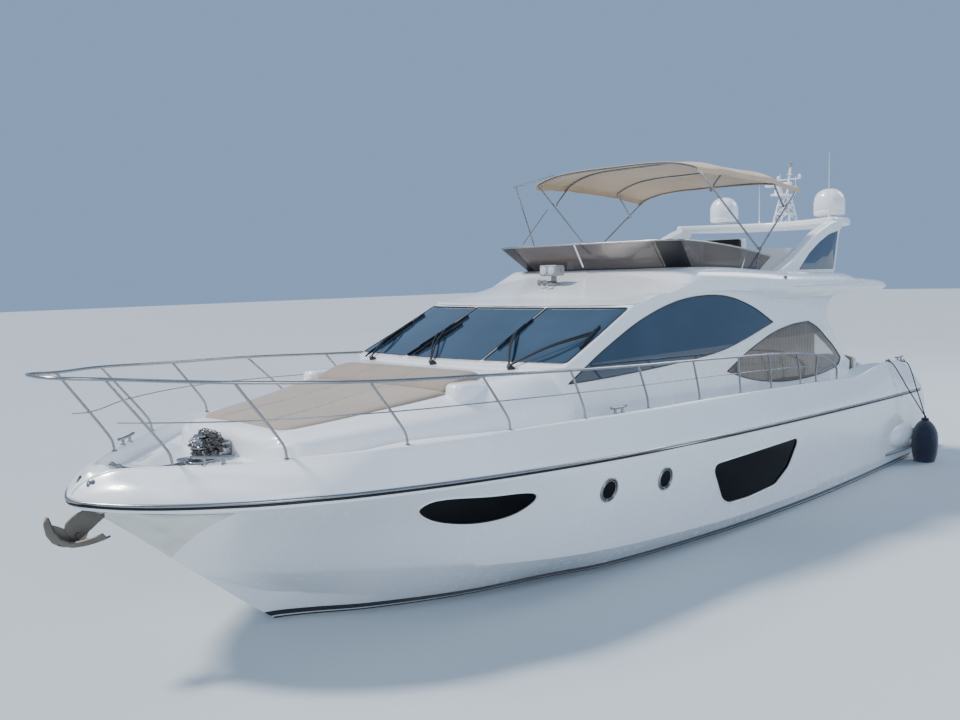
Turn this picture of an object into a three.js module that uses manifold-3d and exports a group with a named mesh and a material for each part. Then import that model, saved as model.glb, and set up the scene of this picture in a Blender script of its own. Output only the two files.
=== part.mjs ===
// A flybridge motor yacht of about 18 m, in millimetres.
// +X to the bow, +Y to port, +Z up. The origin is on the centreline at the waterline, near midships.
import * as THREE from "three";
import { mergeVertices } from "three/addons/utils/BufferGeometryUtils.js";
import Module from "manifold-3d";

const wasm = await Module();
wasm.setup();

// Driving dimensions
const GAP = 0.4; // between pieces that touch
const BOW_X = 8880; // foremost point of the rub rail
const STERN_X = -8400; // aftmost point of the hull
const FULL_X = 1500; // where the hull is widest
const HALF_BEAM = 2560;
const STERN_HALF = 2290;
const SHELL_WALL = 70; // saloon walls
const GLASS = 18; // cabin glass
const SALOON_FLOOR_Z = 1750;
const SALOON_TOP_Z = 3720;
const COCKPIT_FLOOR_Z = 1380;
const COCKPIT_AFT_X = -7150;
const FLY_FLOOR_Z = 3760;
const RAIL_R = 16; // stainless rails
const BOW_R = 14; // canopy hoops
const HOOP_PIVOT = [-2050, 1777, 4371]; // x, half width, z of the canopy's pivots
const PROP_R = 380;
const SHAFT_R = 32;

const WHITE = new THREE.MeshStandardMaterial({ color: 0xf2f3f4, roughness: 0.25 });
const GLASS_BLUE = new THREE.MeshStandardMaterial({ color: 0x22303c, roughness: 0.08 });
const GLASS_BLACK = new THREE.MeshStandardMaterial({ color: 0x0b0c0e, roughness: 0.1 });
const GLASS_SMOKE = new THREE.MeshStandardMaterial({ color: 0x4a4541, roughness: 0.1 });
const STEEL = new THREE.MeshStandardMaterial({ color: 0xc9ccd0, roughness: 0.2, metalness: 1 });
const BRONZE = new THREE.MeshStandardMaterial({ color: 0x9a7440, roughness: 0.35, metalness: 1 });
const BEIGE = new THREE.MeshStandardMaterial({ color: 0xcdb99b, roughness: 0.9 });
const TAUPE = new THREE.MeshStandardMaterial({ color: 0x9c8f83, roughness: 0.9 });
const NAVY = new THREE.MeshStandardMaterial({ color: 0x141a2b, roughness: 0.7 });
const GREY = new THREE.MeshStandardMaterial({ color: 0x6b6f73, roughness: 0.6 });
const TEAK = new THREE.MeshStandardMaterial({ color: 0xa47a4c, roughness: 0.7 });

// Shape tools

// A smooth curve through rows of [at, value], flat beyond its ends.
function curve(rows) {
  const slopes = rows.map((row, i) => {
    const before = rows[Math.max(i - 1, 0)];
    const after = rows[Math.min(i + 1, rows.length - 1)];
    return (after[1] - before[1]) / (after[0] - before[0]);
  });
  return (at) => {
    if (at <= rows[0][0]) return rows[0][1];
    const last = rows.length - 1;
    if (at >= rows[last][0]) return rows[last][1];
    const i = rows.findIndex((row) => row[0] > at) - 1;
    const span = rows[i + 1][0] - rows[i][0];
    const t = (at - rows[i][0]) / span;
    const ease = t * t * (3 - 2 * t);
    const start = t * (1 - t) ** 2 * span * slopes[i];
    const end = t * t * (t - 1) * span * slopes[i + 1];
    return rows[i][1] * (1 - ease) + rows[i + 1][1] * ease + start + end;
  };
}

// A geometry as a solid, whichever way its faces were wound.
function solidOf(geometry) {
  const bare = new THREE.BufferGeometry();
  bare.setAttribute("position", geometry.getAttribute("position").clone());
  if (geometry.index) bare.setIndex(geometry.index.clone());
  const merged = mergeVertices(bare, 1e-3);
  const index = merged.index.array;
  const faces = [];
  for (let i = 0; i < index.length; i += 3) {
    const [a, b, c] = [index[i], index[i + 1], index[i + 2]];
    if (a !== b && b !== c && c !== a) faces.push(a, b, c);
  }
  const build = (list) =>
    new wasm.Manifold(
      new wasm.Mesh({
        numProp: 3,
        vertProperties: merged.attributes.position.array,
        triVerts: new Uint32Array(list),
      }),
    );
  const solid = build(faces);
  return solid.volume() < 0 ? build(faces.reverse()) : solid;
}

function join(...solids) {
  return solids.flat().reduce((whole, next) => whole.add(next));
}

function cut(whole, ...tools) {
  return tools.flat().reduce((left, tool) => left.subtract(tool), whole);
}

// Rings of [x, y, z] points, all of one count, skinned into a closed solid. Each end is closed by strips
// between the points that stand opposite each other, counted both ways from the ring's first point, and
// the two halves of the skin are split as mirror images.
function loft(rings) {
  const count = rings[0].length;
  const lastStart = (rings.length - 1) * count;
  const index = [];
  for (let r = 0; r + 1 < rings.length; r++) {
    for (let i = 0; i < count; i++) {
      const a = r * count + i;
      const b = r * count + ((i + 1) % count);
      if (2 * i < count) index.push(a, b, a + count, b, b + count, a + count);
      else index.push(a, b, b + count, a, b + count, a + count);
    }
  }
  for (let i = 0; i + 1 <= count - i - 1; i++) {
    const opposite = (count - i) % count;
    const before = count - i - 1;
    index.push(before, i + 1, i, opposite, before, i);
    index.push(...[i, i + 1, before, i, before, opposite].map((k) => k + lastStart));
  }
  const geometry = new THREE.BufferGeometry();
  geometry.setAttribute("position", new THREE.Float32BufferAttribute(rings.flat(2), 3));
  geometry.setIndex(index);
  return solidOf(geometry);
}

// Half a ring, from the centreline at the bottom up to the centreline at the top, with its mirror image.
function mirroredRing(half) {
  const other = half
    .slice(1, -1)
    .reverse()
    .map(([x, y, z]) => [x, -y, z]);
  return [...half, ...other];
}

function shapeOf(points) {
  return new THREE.Shape(points.map(([a, b]) => new THREE.Vector2(a, b)));
}

// A smooth closed outline through a few points.
function roundedOutline(points, divisions) {
  const path = new THREE.CatmullRomCurve3(
    points.map(([a, b]) => new THREE.Vector3(a, b, 0)),
    true,
    "centripetal",
  );
  return path
    .getPoints(divisions)
    .slice(0, -1)
    .map((p) => [p.x, p.y]);
}

function prismZ(points, from, to) {
  const geometry = new THREE.ExtrudeGeometry(shapeOf(points), { depth: to - from, bevelEnabled: false });
  geometry.translate(0, 0, from);
  return solidOf(geometry);
}

// An outline of [x, z] points carried along Y.
function prismY(points, from, to) {
  const geometry = new THREE.ExtrudeGeometry(shapeOf(points), { depth: to - from, bevelEnabled: false });
  geometry.rotateX(Math.PI / 2);
  geometry.translate(0, to, 0);
  return solidOf(geometry);
}

function box(low, high) {
  const size = high.map((v, i) => v - low[i]);
  const geometry = new THREE.BoxGeometry(...size);
  geometry.translate(...low.map((v, i) => v + size[i] / 2));
  return solidOf(geometry);
}

// A round bar between two points.
function bar(from, to, radius, sides = 8, endRadius = radius) {
  const a = new THREE.Vector3(...from);
  const b = new THREE.Vector3(...to);
  const geometry = new THREE.CylinderGeometry(endRadius, radius, a.distanceTo(b), sides);
  const turn = new THREE.Quaternion().setFromUnitVectors(
    new THREE.Vector3(0, 1, 0),
    b.clone().sub(a).normalize(),
  );
  geometry.applyQuaternion(turn);
  geometry.translate(...a.add(b).multiplyScalar(0.5).toArray());
  return solidOf(geometry);
}

// A round tube along a smooth path through points, with some steps from each point to the next.
function tube(points, radius, perSpan = 1, sides = 6) {
  const path = new THREE.CatmullRomCurve3(
    points.map((p) => new THREE.Vector3(...p)),
    false,
    "centripetal",
  );
  const start = path.getTangent(0);
  const steepest = Math.max(...start.toArray().map(Math.abs));
  const across = Math.abs(start.y) < steepest ? new THREE.Vector3(0, 1, 0) : new THREE.Vector3(1, 0, 0);
  const steps = perSpan * (points.length - 1);
  const rings = [];
  for (let i = 0; i <= steps; i++) {
    const at = path.getPoint(i / steps);
    const ahead = path.getTangent(i / steps);
    across.addScaledVector(ahead, -across.dot(ahead)).normalize();
    const third = new THREE.Vector3().crossVectors(ahead, across);
    const ring = [];
    for (let j = 0; j < sides; j++) {
      const angle = (2 * Math.PI * j) / sides;
      const point = at.clone().addScaledVector(across, radius * Math.cos(angle));
      ring.push(point.addScaledVector(third, radius * Math.sin(angle)).toArray());
    }
    rings.push(ring);
  }
  return loft(rings);
}

// A profile of [radius, z] points turned round a vertical axis at the given place.
function turned(profile, place, segments = 20) {
  const geometry = new THREE.LatheGeometry(
    profile.map(([r, z]) => new THREE.Vector2(r, z)),
    segments,
  );
  geometry.rotateX(Math.PI / 2);
  geometry.translate(...place);
  return solidOf(geometry);
}

function geometryOf(solid) {
  const data = solid.getMesh();
  const geometry = new THREE.BufferGeometry();
  geometry.setAttribute("position", new THREE.BufferAttribute(new Float32Array(data.vertProperties), 3));
  geometry.setIndex(new THREE.BufferAttribute(new Uint32Array(data.triVerts), 1));
  return geometry;
}

// A solid with each vertex scaled and then shifted.
function changed(solid, scale, shift) {
  const geometry = geometryOf(solid);
  geometry.scale(...scale);
  geometry.translate(...shift);
  return solidOf(geometry);
}

function mirrored(solid) {
  return changed(solid, [1, -1, 1], [0, 0, 0]);
}

function withMirror(solid) {
  return join(solid, mirrored(solid));
}

// A piece trimmed so that it rests on what carries it.
function seated(piece, carrier, gap = [0, 0, GAP]) {
  return piece.subtract(changed(carrier, [1, 1, 1], gap));
}

const yacht = new THREE.Group();

function place(name, solid, material) {
  const geometry = geometryOf(solid);
  geometry.computeVertexNormals();
  const mesh = new THREE.Mesh(geometry, material);
  mesh.name = name;
  yacht.add(mesh);
}

// Hull lines: half breadths and heights along the length

function rubY(x) {
  if (x > FULL_X) {
    const t = Math.min((x - FULL_X) / (BOW_X - FULL_X), 1);
    return HALF_BEAM * (1 - t * t) ** (1 / 2.85);
  }
  const t = (FULL_X - x) / (FULL_X - STERN_X);
  return HALF_BEAM - (HALF_BEAM - STERN_HALF) * t ** 1.3;
}

function rubZ(x) {
  return 1430 + 490 * (Math.max(x + 8000, 0) / 16800) ** 1.3;
}

const keelZ = curve([
  [-8400, -740],
  [-4000, -880],
  [1000, -920],
  [3500, -850],
  [4900, -660],
  [5800, -370],
  [6480, 0],
  [7420, 760],
  [8450, 1620],
  [8900, 1880],
]);
const lowY = curve([
  [-8400, 2140],
  [-3950, 2290],
  [-1300, 2220],
  [620, 2050],
  [2470, 1790],
  [3340, 1500],
  [4560, 1230],
  [5610, 830],
  [6150, 420],
  [6650, 60],
  [7420, 20],
]);
const lowZ = curve([
  [-8400, 0],
  [620, 0],
  [3340, 40],
  [4560, 110],
  [5610, 260],
  [6150, 330],
  [6650, 400],
  [7420, 780],
]);
const chineY = curve([
  [-8400, 2230],
  [-4000, 2390],
  [-470, 2450],
  [1170, 2400],
  [2790, 2270],
  [3730, 2110],
  [4620, 1800],
  [5460, 1360],
  [6020, 1010],
  [6900, 400],
  [7420, 60],
]);
const chineZ = curve([
  [-8400, 200],
  [-4000, 240],
  [-470, 310],
  [1170, 370],
  [2790, 450],
  [4620, 570],
  [6020, 660],
  [6900, 710],
  [7420, 820],
]);
const crestInset = curve([
  [-8400, 60],
  [-4700, 100],
  [400, 160],
  [3000, 130],
  [6100, 50],
  [8900, 60],
]);
const crestZ = curve([
  [-8400, 1300],
  [-8150, 1500],
  [-7700, 1860],
  [-7350, 2030],
  [-6800, 2130],
  [-5800, 2130],
  [-4700, 2010],
  [-3000, 2070],
  [400, 2180],
  [3000, 2235],
  [6100, 2270],
  [7180, 2230],
  [8000, 2170],
  [8900, 2150],
]);

function crestY(x) {
  return Math.max(rubY(x) - crestInset(x), 60);
}

const bulge = curve([
  [3000, 0.6],
  [4700, 0.46],
]);

const HULL_STATIONS = [
  -8400, -7600, -6500, -5000, -3500, -2000, -500, 800, 2000, 3000, 3900, 4700, 5400, 6000, 6500, 7000,
  7450, 7850, 8200, 8480, 8680, 8800, 8865,
];

function hullRing(x, inset) {
  const keel = Math.min(keelZ(x), rubZ(x) - 40);
  const rub = Math.max(rubY(x) - inset, 30);
  const aboveStem = x > 7420;
  const chine = aboveStem ? [20, keel + 24] : [chineY(x) - inset, Math.max(chineZ(x), keel + 40)];
  const low = aboveStem ? [10, keel + 12] : [lowY(x) - inset, Math.max(lowZ(x), keel + 20)];
  chine[0] = Math.max(chine[0], 16);
  low[0] = Math.max(low[0], 8);
  return mirroredRing([
    [x, 0, keel],
    [x, low[0] * 0.5, keel + (low[1] - keel) * 0.44],
    [x, low[0], low[1]],
    [x, chine[0], chine[1]],
    [x, chine[0] + (rub - chine[0]) * bulge(x), chine[1] + (rubZ(x) - chine[1]) * 0.5],
    [x, rub, rubZ(x) - 60],
    [x, rub, rubZ(x)],
    [x, 0, rubZ(x)],
  ]);
}

function hullLoft(inset) {
  return loft(HULL_STATIONS.map((x) => hullRing(x, inset)));
}

// Side view of what lies forward of the stern's outline.
const STERN_OUTLINE = [
  [-7780, -1500],
  [-7830, 0],
  [-8200, 450],
  [-8340, 800],
  [-8350, 1130],
  [-8180, 1470],
  [-7700, 1860],
  [-7350, 2040],
  [-6900, 2150],
  [-6800, 3000],
  [9500, 3000],
  [9500, -1500],
];
const sternTrim = prismY(STERN_OUTLINE, -3000, 3000);

// Hull windows, as side view outlines of [x, z] points.
const BOW_WINDOW = roundedOutline(
  [
    [5780, 1580],
    [5820, 1500],
    [5600, 1330],
    [5250, 1210],
    [4850, 1170],
    [4500, 1230],
    [4300, 1380],
    [4330, 1450],
    [5000, 1530],
  ],
  28,
);
const MID_WINDOW = [
  [640, 1240],
  [700, 1160],
  [400, 680],
  [200, 580],
  [-400, 560],
  [-1250, 600],
  [-1700, 820],
  [-2000, 1180],
  [-1940, 1250],
];
const WINDOW_DEPTH = 45;

function grown(points, by) {
  const cx = points.reduce((sum, p) => sum + p[0], 0) / points.length;
  const cz = points.reduce((sum, p) => sum + p[1], 0) / points.length;
  return points.map(([x, z]) => {
    const length = Math.hypot(x - cx, z - cz);
    return [x + ((x - cx) * by) / length, z + ((z - cz) * by) / length];
  });
}

// Running gear, with the propellers turning on shafts that leave the hull's bottom.
const SHAFT_Y = 850;
const SHAFT_TOP = [-4100, -560];
const SHAFT_END = [-6900, -1130];
const BRACKET_AT = 0.86; // share of the shaft's length from its top
const RUDDER_X = -7500;
const STOCK_R = 32.4;
const ROUND = 24; // sides of what turns in a bore

function shaftPoint(share, side) {
  return [
    SHAFT_TOP[0] + (SHAFT_END[0] - SHAFT_TOP[0]) * share,
    side * SHAFT_Y,
    SHAFT_TOP[1] + (SHAFT_END[1] - SHAFT_TOP[1]) * share,
  ];
}

function bracket(side) {
  const at = shaftPoint(BRACKET_AT, side);
  const bush = bar(shaftPoint(BRACKET_AT - 0.04, side), shaftPoint(BRACKET_AT + 0.04, side), 70, 16);
  const legs = [-330, 330].map((offset) =>
    bar(at, [at[0] + 60, at[1] + offset, -560], 26, 8),
  );
  return join(bush, ...legs);
}

function makeHull() {
  const shell = hullLoft(0);
  const bed = hullLoft(WINDOW_DEPTH);
  const paneOuter = hullLoft(12);
  const paneInner = hullLoft(WINDOW_DEPTH - GAP);
  const rind = hullLoft(-20).subtract(bed);
  const paneRind = paneOuter.subtract(paneInner);
  const windows = [
    { name: "bow", outline: BOW_WINDOW },
    { name: "mid", outline: MID_WINDOW },
  ];
  const recesses = windows.map(({ name, outline }) => {
    const pane = paneRind.intersect(prismY(grown(outline, -1.5), 200, 3000));
    place(`hull_window_${name}_port`, pane, GLASS_BLACK);
    place(`hull_window_${name}_starboard`, mirrored(pane), GLASS_BLACK);
    return withMirror(rind.intersect(prismY(outline, 200, 3000)));
  });
  const engineBay = box(ENGINE_BAY.low, ENGINE_BAY.high);
  const throat = box([-6350, -1250, 1100], [-4600, 1250, 1400]);
  const [lidAft, lidSide, lidLow] = HATCH.low;
  const lidSeat = box([lidAft - 6, lidSide - 6, lidLow], [HATCH.high[0] + 6, 6 - lidSide, 1400]);
  const shaft = bar(shaftPoint(-0.04, 1), shaftPoint(1, 1), SHAFT_R + 0.6, ROUND);
  const stock = bar([RUDDER_X, SHAFT_Y, -300], [RUDDER_X, SHAFT_Y, -1400], STOCK_R + 0.6, ROUND);
  const body = shell.intersect(sternTrim);
  const hull = cut(
    join(body, bracket(1), bracket(-1)),
    ...recesses,
    engineBay,
    throat,
    lidSeat,
    cockpitCut(),
    ...stepCuts(),
    withMirror(shaft),
    withMirror(stock),
  );
  place("hull", hull, WHITE);
  return hull;
}

// Coachroof, which carries the sunpad and ends at the windscreen
const COACHROOF = [
  { x: 7060, half: 980, top: 2330, foot: 1180 },
  { x: 6900, half: 1020, top: 2385, foot: 1250 },
  { x: 6000, half: 1230, top: 2480, foot: 1480 },
  { x: 4850, half: 1500, top: 2620, foot: 1800 },
  { x: 4100, half: 1720, top: 2760, foot: 1980 },
  { x: 3300, half: 1900, top: 2850, foot: 2090 },
];

function coachroofRing({ x, half, top, foot }) {
  return mirroredRing([
    [x, 0, 2000],
    [x, foot, 2000],
    [x, foot - 20, 2180],
    [x, (half + foot) / 2 + 40, (top + 2180) / 2 + 30],
    [x, half, top - 20],
    [x, half - 150, top],
    [x, 0, top + 25],
  ]);
}

function deckRing(x) {
  const rub = rubY(x);
  const crest = crestY(x);
  const lowest = rubZ(x) + GAP;
  const top = Math.max(crestZ(x), lowest + 60);
  const deck = Math.max(top - 75, lowest + 30);
  return mirroredRing([
    [x, 0, lowest],
    [x, rub, lowest],
    [x, rub + 8, lowest + 20],
    [x, crest + (rub - crest) * 0.72, lowest + (top - lowest) * 0.55],
    [x, crest, top - 12],
    [x, crest - 30, top],
    [x, crest - 55, top - 8],
    [x, Math.max(crest - 75, 5), deck],
    [x, 0, deck + 40],
  ]);
}

// Saloon shell: half outline of the walls at a height, from the windscreen's centre to the aft bulkhead
const SHELL_LEVELS = [
  { z: SALOON_FLOOR_Z, front: 3740, corner: 3460, half: 2010, aft: -5300 },
  { z: 2400, front: 3740, corner: 3460, half: 2040, aft: -5300 },
  { z: 2650, front: 3740, corner: 3480, half: 2060, aft: -5300 },
  { z: 2860, front: 3740, corner: 3500, half: 2062, aft: -5300 },
  { z: 3200, front: 2990, corner: 2720, half: 2025, aft: -5300 },
  { z: 3580, front: 2180, corner: 1885, half: 1984, aft: -5300 },
  { z: SALOON_TOP_Z, front: 1500, corner: 1200, half: 1960, aft: -5300 },
];

function shellRing(level, inset) {
  const half = level.half - inset;
  const front = level.front - inset;
  const corner = level.corner - inset;
  const aft = level.aft + inset;
  const port = [
    [corner + (front - corner) * 0.75, half * 0.5],
    [corner + (front - corner) * 0.4, half * 0.8],
    [corner, half - 12],
    [corner - 160, half],
    [corner - 1200, half + 10],
    [-1500, half],
    [-3600, half - 40],
    [aft, half - 110],
  ];
  const starboard = port
    .slice()
    .reverse()
    .map(([x, y]) => [x, -y]);
  return [[front, 0], ...port, ...starboard].map(([x, y]) => [x, y, level.z]);
}

function shellLoft(inset, low = 0, high = 0) {
  const rings = SHELL_LEVELS.map((level) => shellRing(level, inset));
  rings[0] = rings[0].map(([x, y, z]) => [x, y, z + low]);
  rings[rings.length - 1] = rings[rings.length - 1].map(([x, y, z]) => [x, y, z + high]);
  return loft(rings);
}

// Side view outlines of the cabin windows
const SIDE_WINDOW = roundedOutline(
  [
    [3330, 2630],
    [2880, 2900],
    [2220, 3240],
    [1510, 3480],
    [750, 3610],
    [-70, 3645],
    [-820, 3600],
    [-1450, 3430],
    [-2060, 3150],
    [-970, 2910],
    [-130, 2740],
    [500, 2700],
    [1770, 2660],
    [2670, 2640],
  ],
  56,
);
const AFT_WINDOW = [
  [-600, 2460],
  [-1170, 2650],
  [-2000, 2880],
  [-2900, 3040],
  [-3460, 3080],
  [-3880, 2940],
  [-4300, 2720],
  [-4620, 2470],
  [-4780, 2320],
  [-4640, 2220],
  [-3900, 2130],
  [-2730, 2140],
  [-1660, 2240],
  [-900, 2360],
];
// Aft end of the side walls in side view
const WALL_END = [
  [-5300, 1000],
  [-5300, 2240],
  [-5060, 2330],
  [-4560, 2680],
  [-4150, 3120],
  [-4380, 3420],
  [-5300, 3800],
  [-7000, 3800],
  [-7000, 1000],
];
const BULKHEAD_X = -3900;
const DOOR_HALF = 1500;
const DOOR_LOW_Z = SALOON_FLOOR_Z + 20;
const DOOR_TOP_Z = 3420;

// Windscreen panes, as half widths at the bottom and the top of the screen
const PANES = [
  { name: "port", low: [790, 1950], high: [730, 1880] },
  { name: "centre", low: [-720, 720], high: [-670, 670] },
  { name: "starboard", low: [-1950, -790], high: [-1880, -730] },
];
const SCREEN_LOW_Z = 2905;
const SCREEN_HIGH_Z = 3545;

function paneCutter(pane, shrink) {
  const [lowLeft, lowRight] = pane.low;
  const [highLeft, highRight] = pane.high;
  const ring = (x) => [
    [x, lowLeft + shrink, SCREEN_LOW_Z + shrink],
    [x, lowRight - shrink, SCREEN_LOW_Z + shrink],
    [x, highRight - shrink, SCREEN_HIGH_Z - shrink],
    [x, highLeft + shrink, SCREEN_HIGH_Z - shrink],
  ];
  return loft([ring(1700), ring(3900)]);
}

function makeSaloon(flyBody) {
  const outer = shellLoft(0, GAP);
  const inner = shellLoft(SHELL_WALL, -100, -60);
  const glassRind = outer.subtract(shellLoft(GLASS));
  const bulkhead = box([BULKHEAD_X - 80, -2010, SALOON_FLOOR_Z + GAP], [BULKHEAD_X, 2010, SALOON_TOP_Z - 10]);
  const walls = outer.subtract(inner.subtract(bulkhead));
  const aftOpening = box([-7000, -1860, SALOON_FLOOR_Z - 50], [BULKHEAD_X - 80, 1860, SALOON_TOP_Z + 50]);
  const doorway = box([BULKHEAD_X - 200, -DOOR_HALF, DOOR_LOW_Z], [BULKHEAD_X + 200, DOOR_HALF, DOOR_TOP_Z]);
  const panes = PANES.map((pane) => paneCutter(pane, 0));
  const sideCuts = [
    prismY(SIDE_WINDOW, 1000, 3000),
    prismY(SIDE_WINDOW, -3000, -1000),
    prismY(AFT_WINDOW, 1000, 3000),
    prismY(AFT_WINDOW, -3000, -1000),
  ];
  const shell = cut(walls, aftOpening, doorway, ...panes, ...sideCuts, prismY(WALL_END, -3000, 3000));
  place("saloon_shell", seated(shell, flyBody, [0, 0, -GAP]), WHITE);
  for (const pane of PANES) {
    place(`windscreen_${pane.name}`, glassRind.intersect(paneCutter(pane, GAP)), GLASS_BLUE);
  }
  const sideGlass = glassRind.intersect(prismY(grown(SIDE_WINDOW, -1), 1000, 3000));
  const aftGlass = glassRind.intersect(prismY(grown(AFT_WINDOW, -1), 1000, 3000));
  place("side_glass_port", sideGlass, GLASS_BLUE);
  place("side_glass_starboard", mirrored(sideGlass), GLASS_BLUE);
  place("aft_glass_port", aftGlass, GLASS_BLUE);
  place("aft_glass_starboard", mirrored(aftGlass), GLASS_BLUE);
}

// Saloon doors: one leaf fixed to starboard, one sliding to starboard outside it
function doorLeaf(x, y0, y1) {
  return box([x, y0, DOOR_LOW_Z + GAP], [x + 30, y1, DOOR_TOP_Z - 6]);
}

function makeDoors() {
  place("saloon_door_fixed", doorLeaf(BULKHEAD_X - 34, -DOOR_HALF + GAP, 20), GLASS_BLUE);
  place("saloon_door_sliding", doorLeaf(BULKHEAD_X - 74, -30, DOOR_HALF - 6), GLASS_BLUE);
}

function makeInterior() {
  const floor = box([-3800, -1850, SALOON_FLOOR_Z + GAP], [3000, 1850, SALOON_FLOOR_Z + 30]);
  const dash = box([2300, -1700, SALOON_FLOOR_Z + 20], [3200, 1700, 2750]);
  const helm = box([1750, -1500, SALOON_FLOOR_Z + 20], [2310, -500, 2700]);
  const seat = join(
    box([700, -1500, SALOON_FLOOR_Z + 20], [1250, -500, 2300]),
    box([700, -1500, 2290], [860, -500, 2900]),
  );
  const sofa = join(
    box([-3200, 1150, SALOON_FLOOR_Z + 20], [300, 1840, 2180]),
    box([-3200, 1640, 2170], [300, 1840, 2520]),
  );
  const galley = box([-3200, -1840, SALOON_FLOOR_Z + 20], [200, -1250, 2620]);
  place("saloon_interior", join(floor, dash, helm, seat, sofa, galley), TAUPE);
}

// Fly moulding: sections of x, half width, underside, widest height and top
const FLY_STATIONS = [
  { x: 2300, half: 1900, low: 3568, edge: 3572, top: 3580 },
  { x: 1700, half: 2040, low: 3605, edge: 3640, top: 3725 },
  { x: 1000, half: 2110, low: 3660, edge: 3710, top: 3890 },
  { x: 400, half: 2130, low: 3695, edge: 3750, top: 4020 },
  { x: 50, half: 2130, low: 3705, edge: 3760, top: 4100 },
  { x: -800, half: 2130, low: 3705, edge: 3760, top: 4080 },
  { x: -1500, half: 2130, low: 3660, edge: 3730, top: 4040 },
  { x: -2200, half: 2130, low: 3540, edge: 3690, top: 4000 },
  { x: -3500, half: 2120, low: 3520, edge: 3670, top: 3960 },
  { x: -4900, half: 2110, low: 3520, edge: 3660, top: 3920 },
  { x: -5600, half: 2090, low: 3520, edge: 3650, top: 3820 },
  { x: -6600, half: 2040, low: 3520, edge: 3640, top: 3775 },
  { x: -7100, half: 1900, low: 3535, edge: 3640, top: 3745 },
];

function flyRing({ x, half, low, edge, top }) {
  return mirroredRing([
    [x, 0, low],
    [x, half - 130, low],
    [x, half - 30, low + (edge - low) * 0.3],
    [x, half, edge],
    [x, half - 60, edge + (top - edge) * 0.55],
    [x, half - 260, top - 6],
    [x, half - 330, top],
    [x, 0, top + 6],
  ]);
}

// Plan of the fly moulding, which keeps to the windscreen's curve in front
const FLY_PLAN = [
  [2235, -250],
  [2235, 250],
  [2165, 950],
  [2060, 1560],
  [1940, 1900],
  [1500, 2300],
  [-8000, 2300],
  [-8000, -2300],
  [1500, -2300],
  [1940, -1900],
  [2060, -1560],
  [2165, -950],
];

// Wind deflector: rows of x and half width at its foot and its top
const DEFLECTOR = {
  foot: [
    [180, 0, 4080],
    [120, 900, 4080],
    [-60, 1450, 4070],
    [-400, 1660, 4050],
    [-2080, 1700, 3970],
  ],
  top: [
    [620, 0, 4490],
    [560, 900, 4490],
    [420, 1560, 4480],
    [60, 1720, 4465],
    [-2480, 1740, 4240],
  ],
};
const DEFLECTOR_THICK = 14;

function deflectorRing(foot, top) {
  const [fx, fy, fz] = foot;
  const [tx, ty, tz] = top;
  const length = Math.hypot(fx + 1100, fy);
  const nx = (fx + 1100) / length;
  const ny = fy / length;
  const inside = ([x, y, z]) => [x - nx * DEFLECTOR_THICK, y - ny * DEFLECTOR_THICK, z];
  return [[fx, fy, fz], [tx, ty, tz], inside([tx, ty, tz]), inside([fx, fy, fz])];
}

function makeFlybridge() {
  const body = loft(FLY_STATIONS.map(flyRing));
  const well = prismZ(
    [
      [-250, -1300],
      [-560, -1545],
      [-7300, -1550],
      [-7300, 1550],
      [-560, 1545],
      [-250, 1300],
    ],
    FLY_FLOOR_Z,
    5000,
  );
  const brow = prismZ(FLY_PLAN, 3000, 5000);
  const moulding = body.intersect(brow).subtract(well);
  place("flybridge_moulding", moulding, WHITE);
  const rings = DEFLECTOR.foot.map((foot, i) => deflectorRing(foot, DEFLECTOR.top[i]));
  const other = rings
    .slice(1)
    .reverse()
    .map((ring) => ring.map(([x, y, z]) => [x, -y, z]));
  const raised = [...other, ...rings].map((ring) => ring.map(([x, y, z]) => [x, y, z + 6]));
  place("wind_deflector", seated(loft(raised), moulding), GLASS_SMOKE);
  return moulding;
}

// Fly deck furniture on one floor panel, and the helm wheel that turns on it
const FLY_WHEEL = [-1190, 720, 4330];
const WHEEL_TILT = Math.PI / 5;
const WHEEL_HUB = 16; // half the hub's length

function makeFlyInterior() {
  const base = FLY_FLOOR_Z + 10;
  const floor = box([-6900, -1540, FLY_FLOOR_Z + GAP], [-560, 1540, FLY_FLOOR_Z + 20]);
  const helm = prismY(
    [
      [-560, base],
      [-560, 4260],
      [-800, 4420],
      [-1080, 4300],
      [-1080, base],
    ],
    250,
    1200,
  );
  const onAxis = (back) => [
    FLY_WHEEL[0] + back * Math.cos(WHEEL_TILT),
    FLY_WHEEL[1],
    FLY_WHEEL[2] - back * Math.sin(WHEEL_TILT),
  ];
  const column = bar(onAxis(180), onAxis(WHEEL_HUB + GAP), 30);
  const seat = join(box([-2600, 300, base], [-2050, 1150, 4140]), box([-2720, 300, base], [-2590, 1150, 4580]));
  const sofa = join(box([-4300, -1530, base], [-1000, -900, 4050]), box([-4300, -1530, 4040], [-1000, -1380, 4260]));
  const wetBar = box([-4400, 950, base], [-3500, 1530, 4400]);
  place("fly_interior", join(floor, helm, column, seat, sofa, wetBar), GREY);
  const rim = new THREE.TorusGeometry(175, 14, 6, 20);
  const spokes = [0, 1, 2].map((i) => {
    const angle = (2 * Math.PI * i) / 3;
    return bar([0, 0, 0], [178 * Math.cos(angle), 178 * Math.sin(angle), 0], 9, 6);
  });
  const wheel = join(solidOf(rim), ...spokes, bar([0, 0, -WHEEL_HUB], [0, 0, WHEEL_HUB], 26, 12));
  const geometry = geometryOf(wheel);
  geometry.rotateY(-Math.PI / 2 + WHEEL_TILT);
  geometry.translate(...FLY_WHEEL);
  place("fly_wheel", solidOf(geometry), STEEL);
}

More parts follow.
